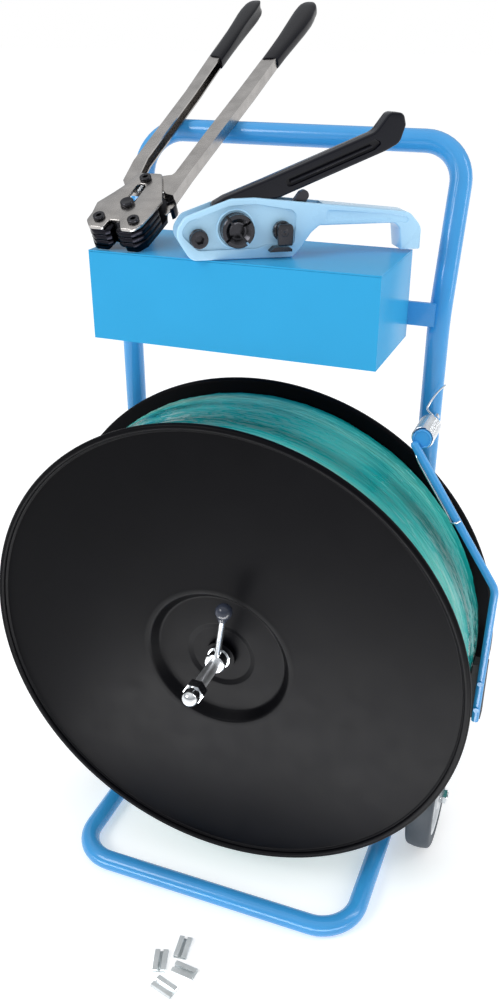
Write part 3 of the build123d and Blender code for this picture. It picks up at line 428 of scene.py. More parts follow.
def strap_material():
    """Glossy teal strap seen through stretched film: long streaks that follow the turns."""
    mat, nodes, links, shader = new_material("wound_strap", "strap_green")
    place = nodes.new("ShaderNodeTexCoord")
    separate = nodes.new("ShaderNodeSeparateXYZ")
    shift = nodes.new("ShaderNodeVectorMath")
    shift.operation = "SUBTRACT"
    shift.inputs[1].default_value = REEL
    links.new(place.outputs["Object"], shift.inputs[0])
    links.new(shift.outputs["Vector"], separate.inputs[0])
    angle = nodes.new("ShaderNodeMath")
    angle.operation = "ARCTAN2"
    links.new(separate.outputs["Z"], angle.inputs[0])
    links.new(separate.outputs["X"], angle.inputs[1])
    cosine = nodes.new("ShaderNodeMath")
    cosine.operation = "COSINE"
    links.new(angle.outputs[0], cosine.inputs[0])
    sine = nodes.new("ShaderNodeMath")
    sine.operation = "SINE"
    links.new(angle.outputs[0], sine.inputs[0])

    def streaks(around, across, detail):
        join = nodes.new("ShaderNodeCombineXYZ")
        for source, socket, factor in ((cosine, "X", around), (sine, "Z", around)):
            scale = nodes.new("ShaderNodeMath")
            scale.operation = "MULTIPLY"
            scale.inputs[1].default_value = factor
            links.new(source.outputs[0], scale.inputs[0])
            links.new(scale.outputs[0], join.inputs[socket])
        scale = nodes.new("ShaderNodeMath")
        scale.operation = "MULTIPLY"
        scale.inputs[1].default_value = across
        links.new(separate.outputs["Y"], scale.inputs[0])
        links.new(scale.outputs[0], join.inputs["Y"])
        node = nodes.new("ShaderNodeTexNoise")
        node.inputs["Scale"].default_value = 1.0
        node.inputs["Detail"].default_value = detail
        links.new(join.outputs[0], node.inputs["Vector"])
        return node.outputs["Fac"]

    wide = streaks(0.9, 26.0, 1.0)
    colour = ramp(nodes, links, wide, [
        (0.30, (0.000, 0.11, 0.10)),
        (0.42, (0.001, 0.21, 0.195)),
        (0.52, (0.006, 0.33, 0.31)),
        (0.62, (0.05, 0.46, 0.42)),
        (0.70, (0.15, 0.56, 0.48)),
        (0.78, (0.30, 0.52, 0.42)),
    ])
    fine = streaks(1.6, 150.0, 3.0)
    shade = ramp(nodes, links, fine, [(0.35, (0.80, 0.82, 0.82)), (0.7, (1.1, 1.1, 1.08))])
    mix = nodes.new("ShaderNodeMix")
    mix.data_type = "RGBA"
    mix.blend_type = "MULTIPLY"
    mix.inputs["Factor"].default_value = 0.9
    links.new(colour, mix.inputs["A"])
    links.new(shade, mix.inputs["B"])
    links.new(mix.outputs["Result"], shader.inputs["Base Color"])
    links.new(spread(nodes, links, fine, 0.10, 0.30), shader.inputs["Roughness"])
    bumped(nodes, links, shader, streaks(2.4, 300.0, 2.0), 0.00018)
    shader.inputs["Specular IOR Level"].default_value = 0.25
    shader.inputs["Coat Weight"].default_value = 0.12
    shader.inputs["Coat Roughness"].default_value = 0.08
    return mat


BLUE = (0.052, 0.35, 0.76)
M = {
    "frame_blue": painted("powder_blue", "frame_blue", BLUE, 0.22, 0.3),
    "box_blue": painted("box_blue_paint", "box_blue", (0.034, 0.37, 0.70), 0.24, 0.0, 0.00001, 0.03, 0.1),
    "tensioner_blue": painted(
        "pale_blue_enamel", "tensioner_blue", (0.45, 0.745, 0.98), 0.28, 0.25, 0.00004, 0.03,
    ),
    "flange_black": painted(
        "flange_enamel", "flange_black", (0.0010, 0.0010, 0.0020), 0.42, 0.0, 0.000015, 0.15, 0.07,
    ),
    "black_paint": painted(
        "lever_enamel", "black_paint", (0.004, 0.0045, 0.009), 0.18, 0.05, 0.00003, 0.07, 0.25,
    ),
    "zinc": metal("bright_zinc", "zinc", (0.74, 0.76, 0.78), 0.12),
    "gunmetal": metal("blackened_steel", "gunmetal", (0.050, 0.050, 0.056), 0.26, grain=0.00003),
    "nickel": metal("satin_nickel", "nickel", (0.42, 0.40, 0.385), 0.24, (14, 1, 1), 0.00001, 0.14),
    "dark_steel": metal("oiled_steel", "dark_steel", (0.012, 0.012, 0.016), 0.24, grain=0.00002),
    "steel": metal("plain_steel", "steel", (0.42, 0.42, 0.43), 0.35),
    "strap_green": strap_material(),
    "cardboard": plastic("wound_board", "cardboard", (0.50, 0.36, 0.22), 0.8, 0.0002, 160.0),
    "ball_plastic": plastic("ball_phenolic", "ball_plastic", (0.03, 0.036, 0.055), 0.12, 0.000005),
    "grip_plastic": plastic("dipped_vinyl", "grip_plastic", (0.004, 0.004, 0.007), 0.22, 0.00004, shine=0.16),
    "tyre_rubber": plastic("tyre_compound", "tyre_rubber", (0.055, 0.068, 0.085), 0.6, 0.00008),
    "rim_grey": plastic("moulded_rim", "rim_grey", (0.72, 0.74, 0.76), 0.4, 0.00003),
    "brake_black": plastic("brake_compound", "brake_black", (0.018, 0.018, 0.02), 0.7, 0.0002),
    "seal_zinc": metal("seal_strip", "seal_zinc", (0.74, 0.78, 0.79), 0.45, (1, 12, 1), 0.00002, partly=0.35),
}
for entry in frame["record"]["subparts"]:
    node = NODES[entry["node"]]
    for place in node.material_slots:
        place.material = M[entry["material_slot"]]


GROUND_STEEL = metal("ground_steel", "zinc", (0.80, 0.81, 0.83), 0.42, (1, 1, 14), 0.00002)
# Painted shade: the sealer's rear plate keeps the nickel slot but is coloured near black, as if it lay in the
# shade behind the front cheek.
SHADED_REAR_NICKEL = metal("shaded_back_plate", "nickel", (0.016, 0.016, 0.021), 0.3, grain=0.00002)
for node, mat in (("spindle", GROUND_STEEL), ("sealer_rear_plate", SHADED_REAR_NICKEL)):
    for place in NODES[node].material_slots:
        place.material = mat


# ---------------- reel ----------------
def arc(cx, cy, radius, start, end, steps):
    """Points of an arc in degrees."""
    return [
        (
            cx + radius * math.cos(math.radians(start + (end - start) * k / steps)),
            cy + radius * math.sin(math.radians(start + (end - start) * k / steps)),
        )
        for k in range(steps + 1)
    ]


SHEET = 1.5
HALF_GAP = 75.0
FLANGE_R = (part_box("front_flange")[1][0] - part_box("front_flange")[0][0]) / 2 / MM
BEAD_R = 4.0
DISH_DEPTH = 12.0


def flange_profile():
    """Front half of a pressed disc: flat centre, soft step, dish wall, web and a curled rim."""
    outer = HALF_GAP + SHEET
    floor = outer - DISH_DEPTH
    centre = floor - 2.0
    front = [(7.6, centre), (36.0, centre)]
    front += arc(36.0, centre + 6.0, 6.0, -90, -62, 4)[1:]
    front += arc(44.5, floor - 6.0, 6.0, 118, 90, 4)
    front += [(60.0, floor), (78.0, floor)]
    front += arc(79.0, floor + 4.0, 4.0, -90, -26, 6)
    front += arc(92.0, outer - 4.5, 4.5, 154, 90, 8)
    web = FLANGE_R - 2 * BEAD_R - 3.0
    front += [(94.5, outer + 0.45), (97.5, outer + 0.25), (101.0, outer), (web * 0.5, outer), (web, outer)]
    front += arc(web + 0.2, outer + 1.2, 1.2, -90, -20, 3)
    bead = FLANGE_R - BEAD_R
    front += arc(bead, HALF_GAP + BEAD_R, BEAD_R, 190, -90, 22)
    back = [(web * 0.5, HALF_GAP), (101.0, HALF_GAP)]
    back += arc(92.0, outer - 4.5, 3.0, 90, 154, 8)
    back += arc(80.0, floor + 2.5, 4.0, -26, -90, 6)
    back += [(46.0, floor - SHEET), (40.0, centre - SHEET), (7.6, centre - SHEET)]
    return front + back


for side, at in (("front", REEL_AT), ("rear", REAR_AT)):
    lathe(
        f"{side}_flange_pressing", flange_profile(), at, M["flange_black"], "reel", 192,
        sharp=50, replaces=(f"{side}_flange",),
    )


def strap_coil():
    """The wound coil: side-by-side turns of strap with small steps, drifting and wrinkling."""
    around, across = 900, 150
    half = 74.0
    inner_r, outer_r = 203.2, 282.2
    strap_width = 14.8
    crown_height, step_height, sag_height, ridge_height = 0.35, 0.5, 0.9, 0.8
    ridge_width = 0.16
    shoulder_drop, shoulder_width = 1.4, 2.5
    bm = bmesh.new()
    rows = []
    for i in range(around):
        angle = 2 * math.pi * i / around
        c, s = math.cos(angle), math.sin(angle)
        row = []
        for j in range(across + 1):
            u = -half + 2 * half * j / across
            lane = (u + half) / strap_width + angle / (2 * math.pi)
            within = lane - math.floor(lane)
            crown = crown_height * (1 - (2 * within - 1) ** 6)
            which = math.floor(lane)
            step = step_height * noise.noise(Vector((which * 3.7, c * 0.6, s * 0.6)))
            sag = sag_height * noise.noise(Vector((c * 2.0, s * 2.0, u * 0.03 + 7)))
            wrinkle = abs(noise.noise(Vector((c * 5.0, s * 5.0, u * 0.22 + 19))))
            ridge = ridge_height * max(0.0, ridge_width - wrinkle) / ridge_width
            past = (abs(u) - half + shoulder_width) / shoulder_width
            shoulder = -shoulder_drop * max(0.0, past) ** 2
            radius = outer_r + crown + step + sag * 0.6 + ridge + shoulder
            row.append(bm.verts.new((radius * c, radius * s, u)))
        rows.append(row)
    low = [bm.verts.new((p.x, p.y, -half)) for p in circle((0, 0), inner_r, around)]
    high = [bm.verts.new((v.co.x, v.co.y, half)) for v in low]
    for i in range(around):
        n = (i + 1) % around
        for j in range(across):
            bm.faces.new((rows[i][j], rows[n][j], rows[n][j + 1], rows[i][j + 1]))
        bm.faces.new((rows[n][0], rows[i][0], low[i], low[n]))
        bm.faces.new((rows[i][across], rows[n][across], high[n], high[i]))
        bm.faces.new((low[n], low[i], high[i], high[n]))
    bm.transform(REEL_AT)
    name = "wound_strap_coil"
    link(to_mesh(bm, name), name, M["strap_green"], "reel", 60, ("strap_coil",))


strap_coil()


# ---------------- softened edges on the plain parts ----------------
SOFT_SEGMENTS = 3
SOFT_ANGLE = 35.0


def soften(node, width):
    """Rounds the sharp edges of a part."""
    piece = NODES[node]
    modifier = piece.modifiers.new("soft_edges", "BEVEL")
    modifier.width = width * MM
    modifier.segments = SOFT_SEGMENTS
    modifier.limit_method = "ANGLE"
    modifier.angle_limit = math.radians(SOFT_ANGLE)
    modifier.harden_normals = False
    modifier.use_clamp_overlap = True


for node, width in (
    ("toolbox_shell", 0.5), ("toolbox_lid", 0.6), ("box_rail", 0.8), ("axle_beam", 1.0),
    ("wheel_gussets", 0.8), ("axle_nuts", 0.7), ("wheel_axles", 0.6), ("rear_lock_nut", 0.8),
    ("end_cap_nut", 0.7), ("clamp_washer", 0.5), ("front_boss", 1.2), ("gripper_foot", 0.7),
    ("gripper_lever", 1.2), ("left_arm", 0.7), ("right_arm", 0.7), ("sealer_rear_plate", 0.8),
    ("sealer_spacers", 0.5), ("brake_pad", 0.8), ("pad_screws", 0.4),
):
    soften(node, width)


# ---------------- tensioner ----------------
BODY = [
    (-4, -0.2), (101, -0.2), (109, 8), (121, 24), (129, 30.5), (210, 30.5), (216, 25), (219, 3),
    (240, 3), (240, 26), (226, 41), (126, 52), (62, 59), (38, 58.5), (-9, 42.5), (-20, 27),
]
BODY_RADII = [12, 3, 6, 8, 4, 5, 4, 1, 1, 14, 14, 30, 20, 14, 12, 14]
DEPTH = 30.0
CHEEK = 5.0


def tensioner_casting():
    """One casting: two cheeks round a slot, each with a raised border round a shallow recess."""
    body = plate_bm([rounded(BODY, BODY_RADII, 8)], -DEPTH, 0, 1.5, 4)
    gap = rounded([(-30, 9), (134, 9), (134, 80), (-30, 80)], [1, 3, 1, 1])
    slot = plate_bm([gap], -DEPTH + CHEEK, -CHEEK, 0)
    recess = rounded(
        [
            (3, 9.5), (64, 10), (73, 13), (103, 13.5), (105, 46), (63, 53.5), (37, 52.5), (-6, 38.5),
            (-14.5, 27),
        ],
        [10, 10, 10, 3, 8, 14, 12, 10, 9], 8,
    )
    front = plate_bm([recess], -2.2, 6.0, 1.3, 3)
    back = plate_bm([recess], -DEPTH - 6.0, -DEPTH + 2.2, 1.3, 3)
    grip = rounded([(136, 34.5), (206, 34.5), (222, 30), (227, 33), (222, 37), (206, 40), (136, 46)], 3, 15)
    panel = plate_bm([grip], -0.9, 4.0, 0.6, 2)
    holes = lathe_bm([(17.2, -DEPTH - 8), (17.2, 8), (0, 8), (0, -DEPTH - 8)], 72, False)
    holes.transform(Matrix.Translation((*WINDLASS, 0)))
    pins = []
    for centre, radius in ((GRIPPER, 6.1), (NOSE_PIN, 5.0)):
        pin = plate_bm([circle(centre, radius, 36)], -DEPTH - 8, 8, 0)
        pins.append(pin)
    bm = cut(body, [slot, front, back, panel, holes, *pins])
    bm.transform(TENSIONER)
    link(to_mesh(bm, "tensioner_casting"), "tensioner_casting", M["tensioner_blue"], "tensioner", 40,
         ("tensioner_body",))


def rim_ring():
    """Rounded lip round the windlass's hole."""
    profile = [(17.3, -3.4)] + arc(18.4, -2.2, 1.1, 180, 0, 8) + [(19.5, -3.4)]
    lathe("windlass_hole_lip", profile, shifted(TENSIONER, *WINDLASS), M["tensioner_blue"], "tensioner", 72)


def windlass():
    """Grooved drum with a cross slot in its head."""
    profile = [(0, -5.0), (16.0, -5.0), (16.4, -4.6)]
    for low in (1.0, 4.4, 7.8):
        profile += [(16.4, low), (15.6, low + 0.4), (15.6, low + 1.2), (16.4, low + 1.6)]
    profile += [(16.4, 13.0), (15.6, 13.9), (12.6, 13.9), (9.4, 10.6), (8.6, 9.6), (7.0, 9.2)]
    profile += [(7.0, 1.5), (0, 1.5)]
    drum = lathe_bm(profile, 96, False)
    tools = []
    for turn in (38, 128):
        blade = plate_bm([[(-20, -1.15), (20, -1.15), (20, 1.15), (-20, 1.15)]], 1.6, 18, 0)
        blade.transform(Matrix.Rotation(math.radians(turn), 4, "Z"))
        tools.append(blade)
    bm = cut(drum, tools)
    tail = -DEPTH - 2
    back = lathe_bm([(0, tail), (11.6, tail), (12.0, tail + 0.4), (12.0, -4.9), (0, -4.9)], 64, False)
    bm = combine([bm, back])
    bm.transform(shifted(TENSIONER, *WINDLASS))
    name = "slotted_windlass"
    link(to_mesh(bm, name), name, M["gunmetal"], "tensioner_windlass", 32, ("windlass",))


def nose_pin():
    """Knurled head with a hexagon socket."""
    knurl = [
        Vector((math.cos(math.pi * k / 48), math.sin(math.pi * k / 48))) * (9.0 if k % 2 else 8.7)
        for k in range(96)
    ]
    head = plate_bm([knurl, hexagon((0, 0), 4.6, 12)], 3.2, 9.2, 0.35, 2)
    base = lathe_bm([(0, 0.2), (9.3, 0.2), (9.4, 0.6), (9.4, 2.6), (8.6, 3.2), (0, 3.4)], 64, False)
    back = lathe_bm([(0, -DEPTH), (4.9, -DEPTH), (4.9, 0.3), (0, 0.3)], 32, False)
    bm = combine([head, base, back])
    bm.transform(shifted(TENSIONER, *NOSE_PIN))
    link(to_mesh(bm, "nose_pin_head"), "nose_pin_head", M["gunmetal"], "tensioner", 30, ("nose_roller",))


def gripper():
    back = lathe_bm([(0, 0.4), (9.8, 0.4), (10.0, 0.8), (10.0, 5.2), (9.2, 6.2), (0, 6.2)], 72, False)
    ring = lathe_bm([(9.0, 6.0), (9.4, 6.2), (9.4, 7.6), (8.8, 8.0), (0, 8.0), (0, 6.0)], 72, False)
    shield = rounded(
        [(-6.2, -13.0), (8.4, -13.0), (9.2, 2), (8.0, 8.2), (-6.4, 8.2), (-7.4, 2)],
        [1.5, 1.5, 5, 7.5, 7.5, 5], 8,
    )
    front = plate_bm([shield], 7.6, 13.4, 1.1, 3)
    cap_profile = [(0, 13.0), (3.9, 13.0), (3.9, 13.6), (3.4, 14.0), (1.2, 14.0), (0.6, 13.7), (0, 13.7)]
    cap = lathe_bm(cap_profile, 36, False)
    pin = lathe_bm([(0, -DEPTH), (5.6, -DEPTH), (6.0, -DEPTH + 0.4), (6.0, 0.6), (0, 0.6)], 36, False)
    bm = combine([back, ring, front, cap, pin])
    bm.transform(shifted(TENSIONER, *GRIPPER))
    link(to_mesh(bm, "gripper_jaw"), "gripper_jaw", M["gunmetal"], "gripper", 32, ("gripper_cam",))


LEVER = [
    (21, 38), (28, 18), (42, 9), (58, 14), (66, 34), (78, 55.5), (88, 57.5), (197, 99.5), (212, 107),
    (217.5, 124), (214.5, 135), (200, 136), (186, 118), (74, 75), (33, 60), (20, 53),
]
LEVER_RADII = [6, 8, 12, 12, 10, 6, 10, 20, 12, 6, 6, 8, 16, 20, 14, 6]


def tension_lever():
    """Curved lever with a long groove on both sides and a rib in the front one."""
    low, high = -DEPTH + CHEEK + 0.5, -CHEEK - 0.5
    body = plate_bm([rounded(LEVER, LEVER_RADII, 8)], low, high, 2.2, 4)
    groove = rounded(
        [(101, 68.5), (186, 101), (194, 108), (186, 111), (94, 75.5), (96, 68)], [3, 3, 4, 3, 3, 3], 10
    )
    panel = plate_bm([groove], high - 4.5, high + 3, 1.0, 2)
    back = plate_bm([groove], low - 3, low + 4.5, 1.0, 2)
    ratchet = plate_bm([circle(WINDLASS, 21, 48)], -17.3, -9.7, 0)
    axle = plate_bm([circle(WINDLASS, 12.1, 48)], -DEPTH, 0, 0)
    bm = cut(body, [panel, back, ratchet, axle])
    rib_outline = rounded([(100, 71.2), (184, 103.4), (183.2, 105.6), (99.2, 73.4)], 0.9)
    rib = plate_bm([rib_outline], high - 5.2, high - 1.2, 0.5, 2)
    bm = combine([bm, rib])
    bm.transform(TENSIONER)
    name = "pressed_lever"
    link(to_mesh(bm, name), name, M["black_paint"], "tensioner_lever", 35, ("tension_lever",))


tensioner_casting()
rim_ring()
windlass()
nose_pin()
gripper()
tension_lever()


# ---------------- crimper ----------------
HEAD = [
    (-33.5, -5), (-33.5, 8), (-36.5, 25.5), (-26, 46), (-18.5, 63), (-14.5, 84), (14, 85.2), (35, 39.5),
    (33.5, 18), (31.5, -4), (25, -14), (11, -14), (4, -1), (-8, -1), (-9.5, -15), (-26, -15),
]
HEAD_RADII = [8, 4, 3, 3, 3, 3, 4, 3, 4, 8, 7, 3, 1, 1, 3, 8]


def crimper_head():
    """Front cheek, the three socket bolts, and the toggle's button with its spring."""
    slot = rounded([(-6.5, 23), (5.5, 23), (6, 64.5), (-6, 64.5)], 4)
    plate(
        "crimper_front_cheek", [rounded(HEAD, HEAD_RADII, 8), slot], -4.0, 0, SEALER, M["nickel"], "sealer",
        1.0, 3, ("sealer_front_plate",),
    )
    heads = []
    for x, y in ((-JAW_BOLT_X, 0), (JAW_BOLT_X, 0), (0, TOP_BOLT_Y)):
        dome = plate_bm([circle((x, y), 6.4, 40), hexagon((x, y), 3.1, 15)], 0.2, 4.0, 1.1, 4)
        floor = lathe_bm([(0, 0.3), (4.0, 0.3), (4.0, 1.4), (0, 1.4)], 24, False)
        floor.transform(Matrix.Translation((x, y, 0)))
        stem = lathe_bm([(0, -28.0), (4.0, -28.0), (4.0, 0.3), (0, 0.3)], 32, False)
        stem.transform(Matrix.Translation((x, y, 0)))
        heads += [dome, floor, stem]
    bm = combine(heads)
    bm.transform(SEALER)
    link(to_mesh(bm, "crimper_bolts"), "crimper_bolts", M["gunmetal"], "sealer", 30, ("sealer_bolts",))
    dome = [(0, -3.5), (3.9, -3.5), (3.9, 0.3), (7.3, 0.3), (7.4, 0.8), (7.4, 2.2)]
    dome += arc(5.4, 2.2, 2.0, 0, 80, 6)[1:] + [(4.6, 4.0), (3.6, 3.5), (0, 3.4)]
    lathe(
        "toggle_button", dome, shifted(SEALER, -0.5, TOGGLE_Y), M["gunmetal"], "sealer_toggle", 48, False,
        30, ("toggle_pin",),
    )
    turns = []
    per_turn, steps, coil_r, wire_r = 24, 240, 1.4, 0.35
    foot_y, length = 52.2, 10.8
    for k in range(steps + 1):
        angle = 2 * math.pi * k / per_turn
        x, z = -0.3 + coil_r * math.cos(angle), -2.2 + coil_r * math.sin(angle)
        turns.append((x, foot_y + length * k / steps, z))
    mesh = wire_mesh("toggle_spring", turns, wire_r, SEALER, 3)
    link(mesh, "toggle_spring", M["zinc"], "sealer", 60)


def jaws():
    """Three thick plates on each side, held by rivets."""
    shape = [
        (2.4, -2), (3.0, -12), (8, -14.8), (24, -14.8), (33, -6), (34.5, 6), (34.8, 29), (27, 31),
        (22, 14), (8, 9),
    ]
    radii = [3, 3, 4, 8, 8, 10, 3, 4, 6, 4]
    for side, word in ((-1, "left"), (1, "right")):
        layers = []
        for low, high in ((-23.6, -17.5), (-17.1, -11.0), (-10.6, -4.5)):
            outline = rounded([(side * x, y) for x, y in shape], radii, 10)
            hole = circle((side * JAW_BOLT_X, 0), 4.1, 28)
            layers.append(plate_bm([outline, hole], low, high, 1.7, 4))
        for x, y in ((14, -11.5), (30, 22)):
            layers.append(plate_bm([circle((side * x, y), 1.6, 20)], -20.0, -4.4, 0))
        bm = combine(layers)
        bm.transform(SEALER)
        link(
            to_mesh(bm, f"laminated_{word}_jaw"), f"laminated_{word}_jaw", M["dark_steel"],
            f"sealer_{word}_jaw", 40, (f"{word}_jaw",),
        )


GRIP_MIDDLE = -10.9
GRIP_SQUARENESS = 0.62
HOLLOW_FROM = 380
HOLLOW_FADE = 60
HOLLOW_DEPTH = 4.5


def grip(word, stations, hollow_side):
    """A dipped sleeve: rounded sections from the cuff to the flared, rounded tip."""
    bm = bmesh.new()
    steps = 40
    rings = []
    for x, y, half_w, half_d, skew in stations:
        ring = []
        for k in range(steps):
            angle = 2 * math.pi * k / steps
            c, sn = math.cos(angle), math.sin(angle)
            px = math.copysign(abs(c) ** GRIP_SQUARENESS, c) * half_w
            pz = math.copysign(abs(sn) ** GRIP_SQUARENESS, sn) * half_d
            dent = 0.0
            if hollow_side:
                facing = max(0.0, c * hollow_side) ** 3
                fade = max(0.0, min(1.0, (y - HOLLOW_FROM) / HOLLOW_FADE))
                dent = -hollow_side * facing * fade * HOLLOW_DEPTH
            ring.append(bm.verts.new((x + px + dent, y + skew * c, GRIP_MIDDLE + pz)))
        rings.append(ring)
    for a, b in zip(rings, rings[1:]):
        for k in range(steps):
            n = (k + 1) % steps
            bm.faces.new((a[k], b[k], b[n], a[n]))
    bm.faces.new(rings[0])
    bm.faces.new(list(reversed(rings[-1])))
    bm.transform(SEALER)
    link(to_mesh(bm, f"dipped_{word}_grip"), f"dipped_{word}_grip", M["grip_plastic"],
         f"sealer_{word}_handle", 50, (f"{word}_grip",))


def grip_stations(side, path):
    """Sections of a sleeve: a slanted cuff, the path given, and a domed tip."""
    cuff_skew, cuff_end, tip_length = 3.0, 350, 22
    stations = []
    for x, y, half_w, half_d in path:
        stations.append((x, y, half_w, half_d, side * cuff_skew * (1 if y < cuff_end else 0)))
    tip_x, tip_y, tip_w, tip_d = path[-1]
    for k in range(1, 9):
        angle = math.radians(90 * k / 8.4)
        taper = math.cos(angle)
        y = tip_y + tip_length * math.sin(angle)
        stations.append((tip_x, y, tip_w * taper, tip_d * taper ** 0.7, 0))
    return stations


def spring_clip():
    """Collars on the top bolt, and the bent clip with its plate at the head's right side."""
    shells = []
    for low, high in ((-23.95, -17.55), (-12.85, -8.95)):
        profile = [(4.05, low), (8.8, low), (9.0, low + 0.2), (9.0, high - 0.2), (8.8, high), (4.05, high)]
        collar = lathe_bm(profile, 48)
        collar.transform(Matrix.Translation((0, TOP_BOLT_Y, 0)))
        shells.append(collar)
    strip = [
        (33.6, 48), (38.4, 55.6), (40.4, 55.4), (45.0, 49.0), (46.0, 45), (45.8, 39.4), (43.4, 36.6),
        (42.2, 38.0), (44.2, 40.2), (44.5, 44.8), (43.6, 48.2), (39.4, 53.6), (35.0, 46.8),
    ]
    radii = [0.4, 1.2, 1.2, 2, 2, 2, 0.5, 0.5, 1, 1, 1, 1, 0.4]
    shells.append(plate_bm([rounded(strip, radii)], -21.5, -9.6, 0.3))
    bm = combine(shells)
    bm.transform(SEALER)
    link(to_mesh(bm, "bent_clip"), "bent_clip", M["dark_steel"], "sealer", 35, ("sealer_spacers",))
    face = [
        (34.2, 46.4), (39.3, 53.2), (43.2, 48.0), (44.1, 44.8), (43.8, 40.4), (41.4, 30.0), (38.6, 30.5),
        (36, 40),
    ]
    plate("clip_plate", [rounded(face, 0.8)], -12.4, -11.2, SEALER, M["nickel"], "sealer", 0.3)


crimper_head()
jaws()
spring_clip()
grip("left", grip_stations(-1, [
    (-31.4, 343, 9.6, 8.0), (-31.7, 346, 9.9, 8.3), (-32.0, 370, 9.9, 8.3), (-32.3, 400, 10.8, 8.5),
    (-32.7, 430, 12.4, 8.9), (-33.2, 455, 13.9, 9.3), (-33.4, 468, 14.1, 9.4), (-33.5, 477, 13.4, 9.2),
]), 1)
grip("right", grip_stations(1, [
    (41.2, 343, 10.2, 8.0), (41.4, 346, 10.5, 8.3), (42.2, 370, 10.8, 8.3), (43.2, 400, 12.2, 8.5),
    (43.9, 430, 13.8, 8.9), (43.9, 452, 14.4, 9.3), (43.3, 466, 13.9, 9.4), (42.8, 475, 12.9, 9.2),
]), 0)


# ---------------- brake spring ----------------
SPRING_WIRE_R = 1.1


def brake_spring():
    """Close turns on the pivot, with the short leg that leads in from the frame."""
    low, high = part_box("spring_coil")
    pivot = (Vector(low) + Vector(high)) / 2
    radius = 11.6
    turns, per_turn, pitch = 16, 36, 2.5
    start = high[1] / MM - 1.2
    points = []
    begin = math.radians(75)
    for k in range(turns * per_turn + 1):
        angle = begin + 2 * math.pi * k / per_turn
        points.append((
            pivot.x / MM + radius * math.cos(angle),
            start - pitch * k / per_turn,
            pivot.z / MM + radius * math.sin(angle),
        ))
    fit_y = FRAME_Y / MM
    lead = [
        (208.3, fit_y - 11.0, 656.8), (202.6, fit_y - 15.6, 651.6), (197.8, fit_y - 20.5, 644.5),
        (194.8, fit_y - 28.0, 638.0), (194.4, fit_y - 34.0, 633.8),
    ]
    path = smooth_path(lead + points[:2], 6)[:-6] + [Vector(point) for point in points]
    mesh = wire_mesh("brake_spring", path, SPRING_WIRE_R, WORLD, 4)
    link(mesh, "brake_spring", M["zinc"], "frame", 60, ("spring_coil",))


brake_spring()


def spring_hook():
    """Leg of the spring along the rod, ending in a hook over it."""
    low, high = (Vector(corner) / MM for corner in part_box("spring_leg"))
    start = Vector((low.x + SPRING_WIRE_R, high.y - SPRING_WIRE_R, high.z - SPRING_WIRE_R))
    end = Vector((high.x - SPRING_WIRE_R, low.y + SPRING_WIRE_R, low.z + SPRING_WIRE_R))
    way = Vector((end.x - start.x, 0, end.z - start.z)).normalized()
    side = Vector((way.z, 0, -way.x))
    bend = start + way * 22
    bend.y = end.y
    points = [start, start + (bend - start) * 0.5, bend, bend + way * 35, end]
    tail = [
        end - side * across + way * along + Vector((0, -ahead, 0))
        for across, along, ahead in ((1.0, 5.0, 4.6), (6.0, 6.5, 6.4), (11.4, 7.0, 4.0))
    ]
    mesh = wire_mesh("spring_long_leg", smooth_path(points + tail, 8), SPRING_WIRE_R, WORLD, 4)
    link(mesh, "spring_long_leg", M["zinc"], "brake_arm", 60, ("spring_leg",))


spring_hook()


ROD_R = 4.5
ROD_TOP = (194.0, 611.6)
ROD_BEND = (299.1, 451.0)
HUB_CAP_FRONT = 84.0


def rod_end_dome():
    """Rounded end of the brake rod."""
    rod_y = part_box("brake_rod")[0][1] / MM + ROD_R
    start = Vector((ROD_TOP[0], rod_y, ROD_TOP[1]))
    way = (Vector((ROD_BEND[0], rod_y, ROD_BEND[1])) - start).normalized()
    across = Vector((0, 1, 0))
    at = axes(start * MM, across.cross(way) * -1, across, way * -1)
    radius = ROD_R - 0.02
    dome = [(radius, -1.0)] + arc(0, 0, radius, 0, 90, 8)[:-1] + [(0, radius), (0, -1.0)]
    lathe("rod_end_dome", dome, at, M["frame_blue"], "brake_arm", 40)


def hub_cap_bead():
    """Weld bead round the cap that closes the hub."""
    low, high = (Vector(corner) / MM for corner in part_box("spring_coil"))
    pivot = (low + high) / 2
    steps, bead_ring, bead_r = 72, 9.6, 1.0
    points = []
    for k in range(steps + 1):
        angle = 2 * math.pi * k / steps
        wobble = 0.25 * noise.noise(Vector((math.cos(angle) * 4, math.sin(angle) * 4, 1.7)))
        radius = bead_ring + wobble
        points.append((
            pivot.x + radius * math.cos(angle),
            FRAME_Y / MM - HUB_CAP_FRONT + wobble,
            pivot.z + radius * math.sin(angle),
        ))
    name = "hub_cap_bead"
    link(wire_mesh(name, points, bead_r, WORLD, 3), name, M["frame_blue"], "brake_arm", 60)


rod_end_dome()
hub_cap_bead()


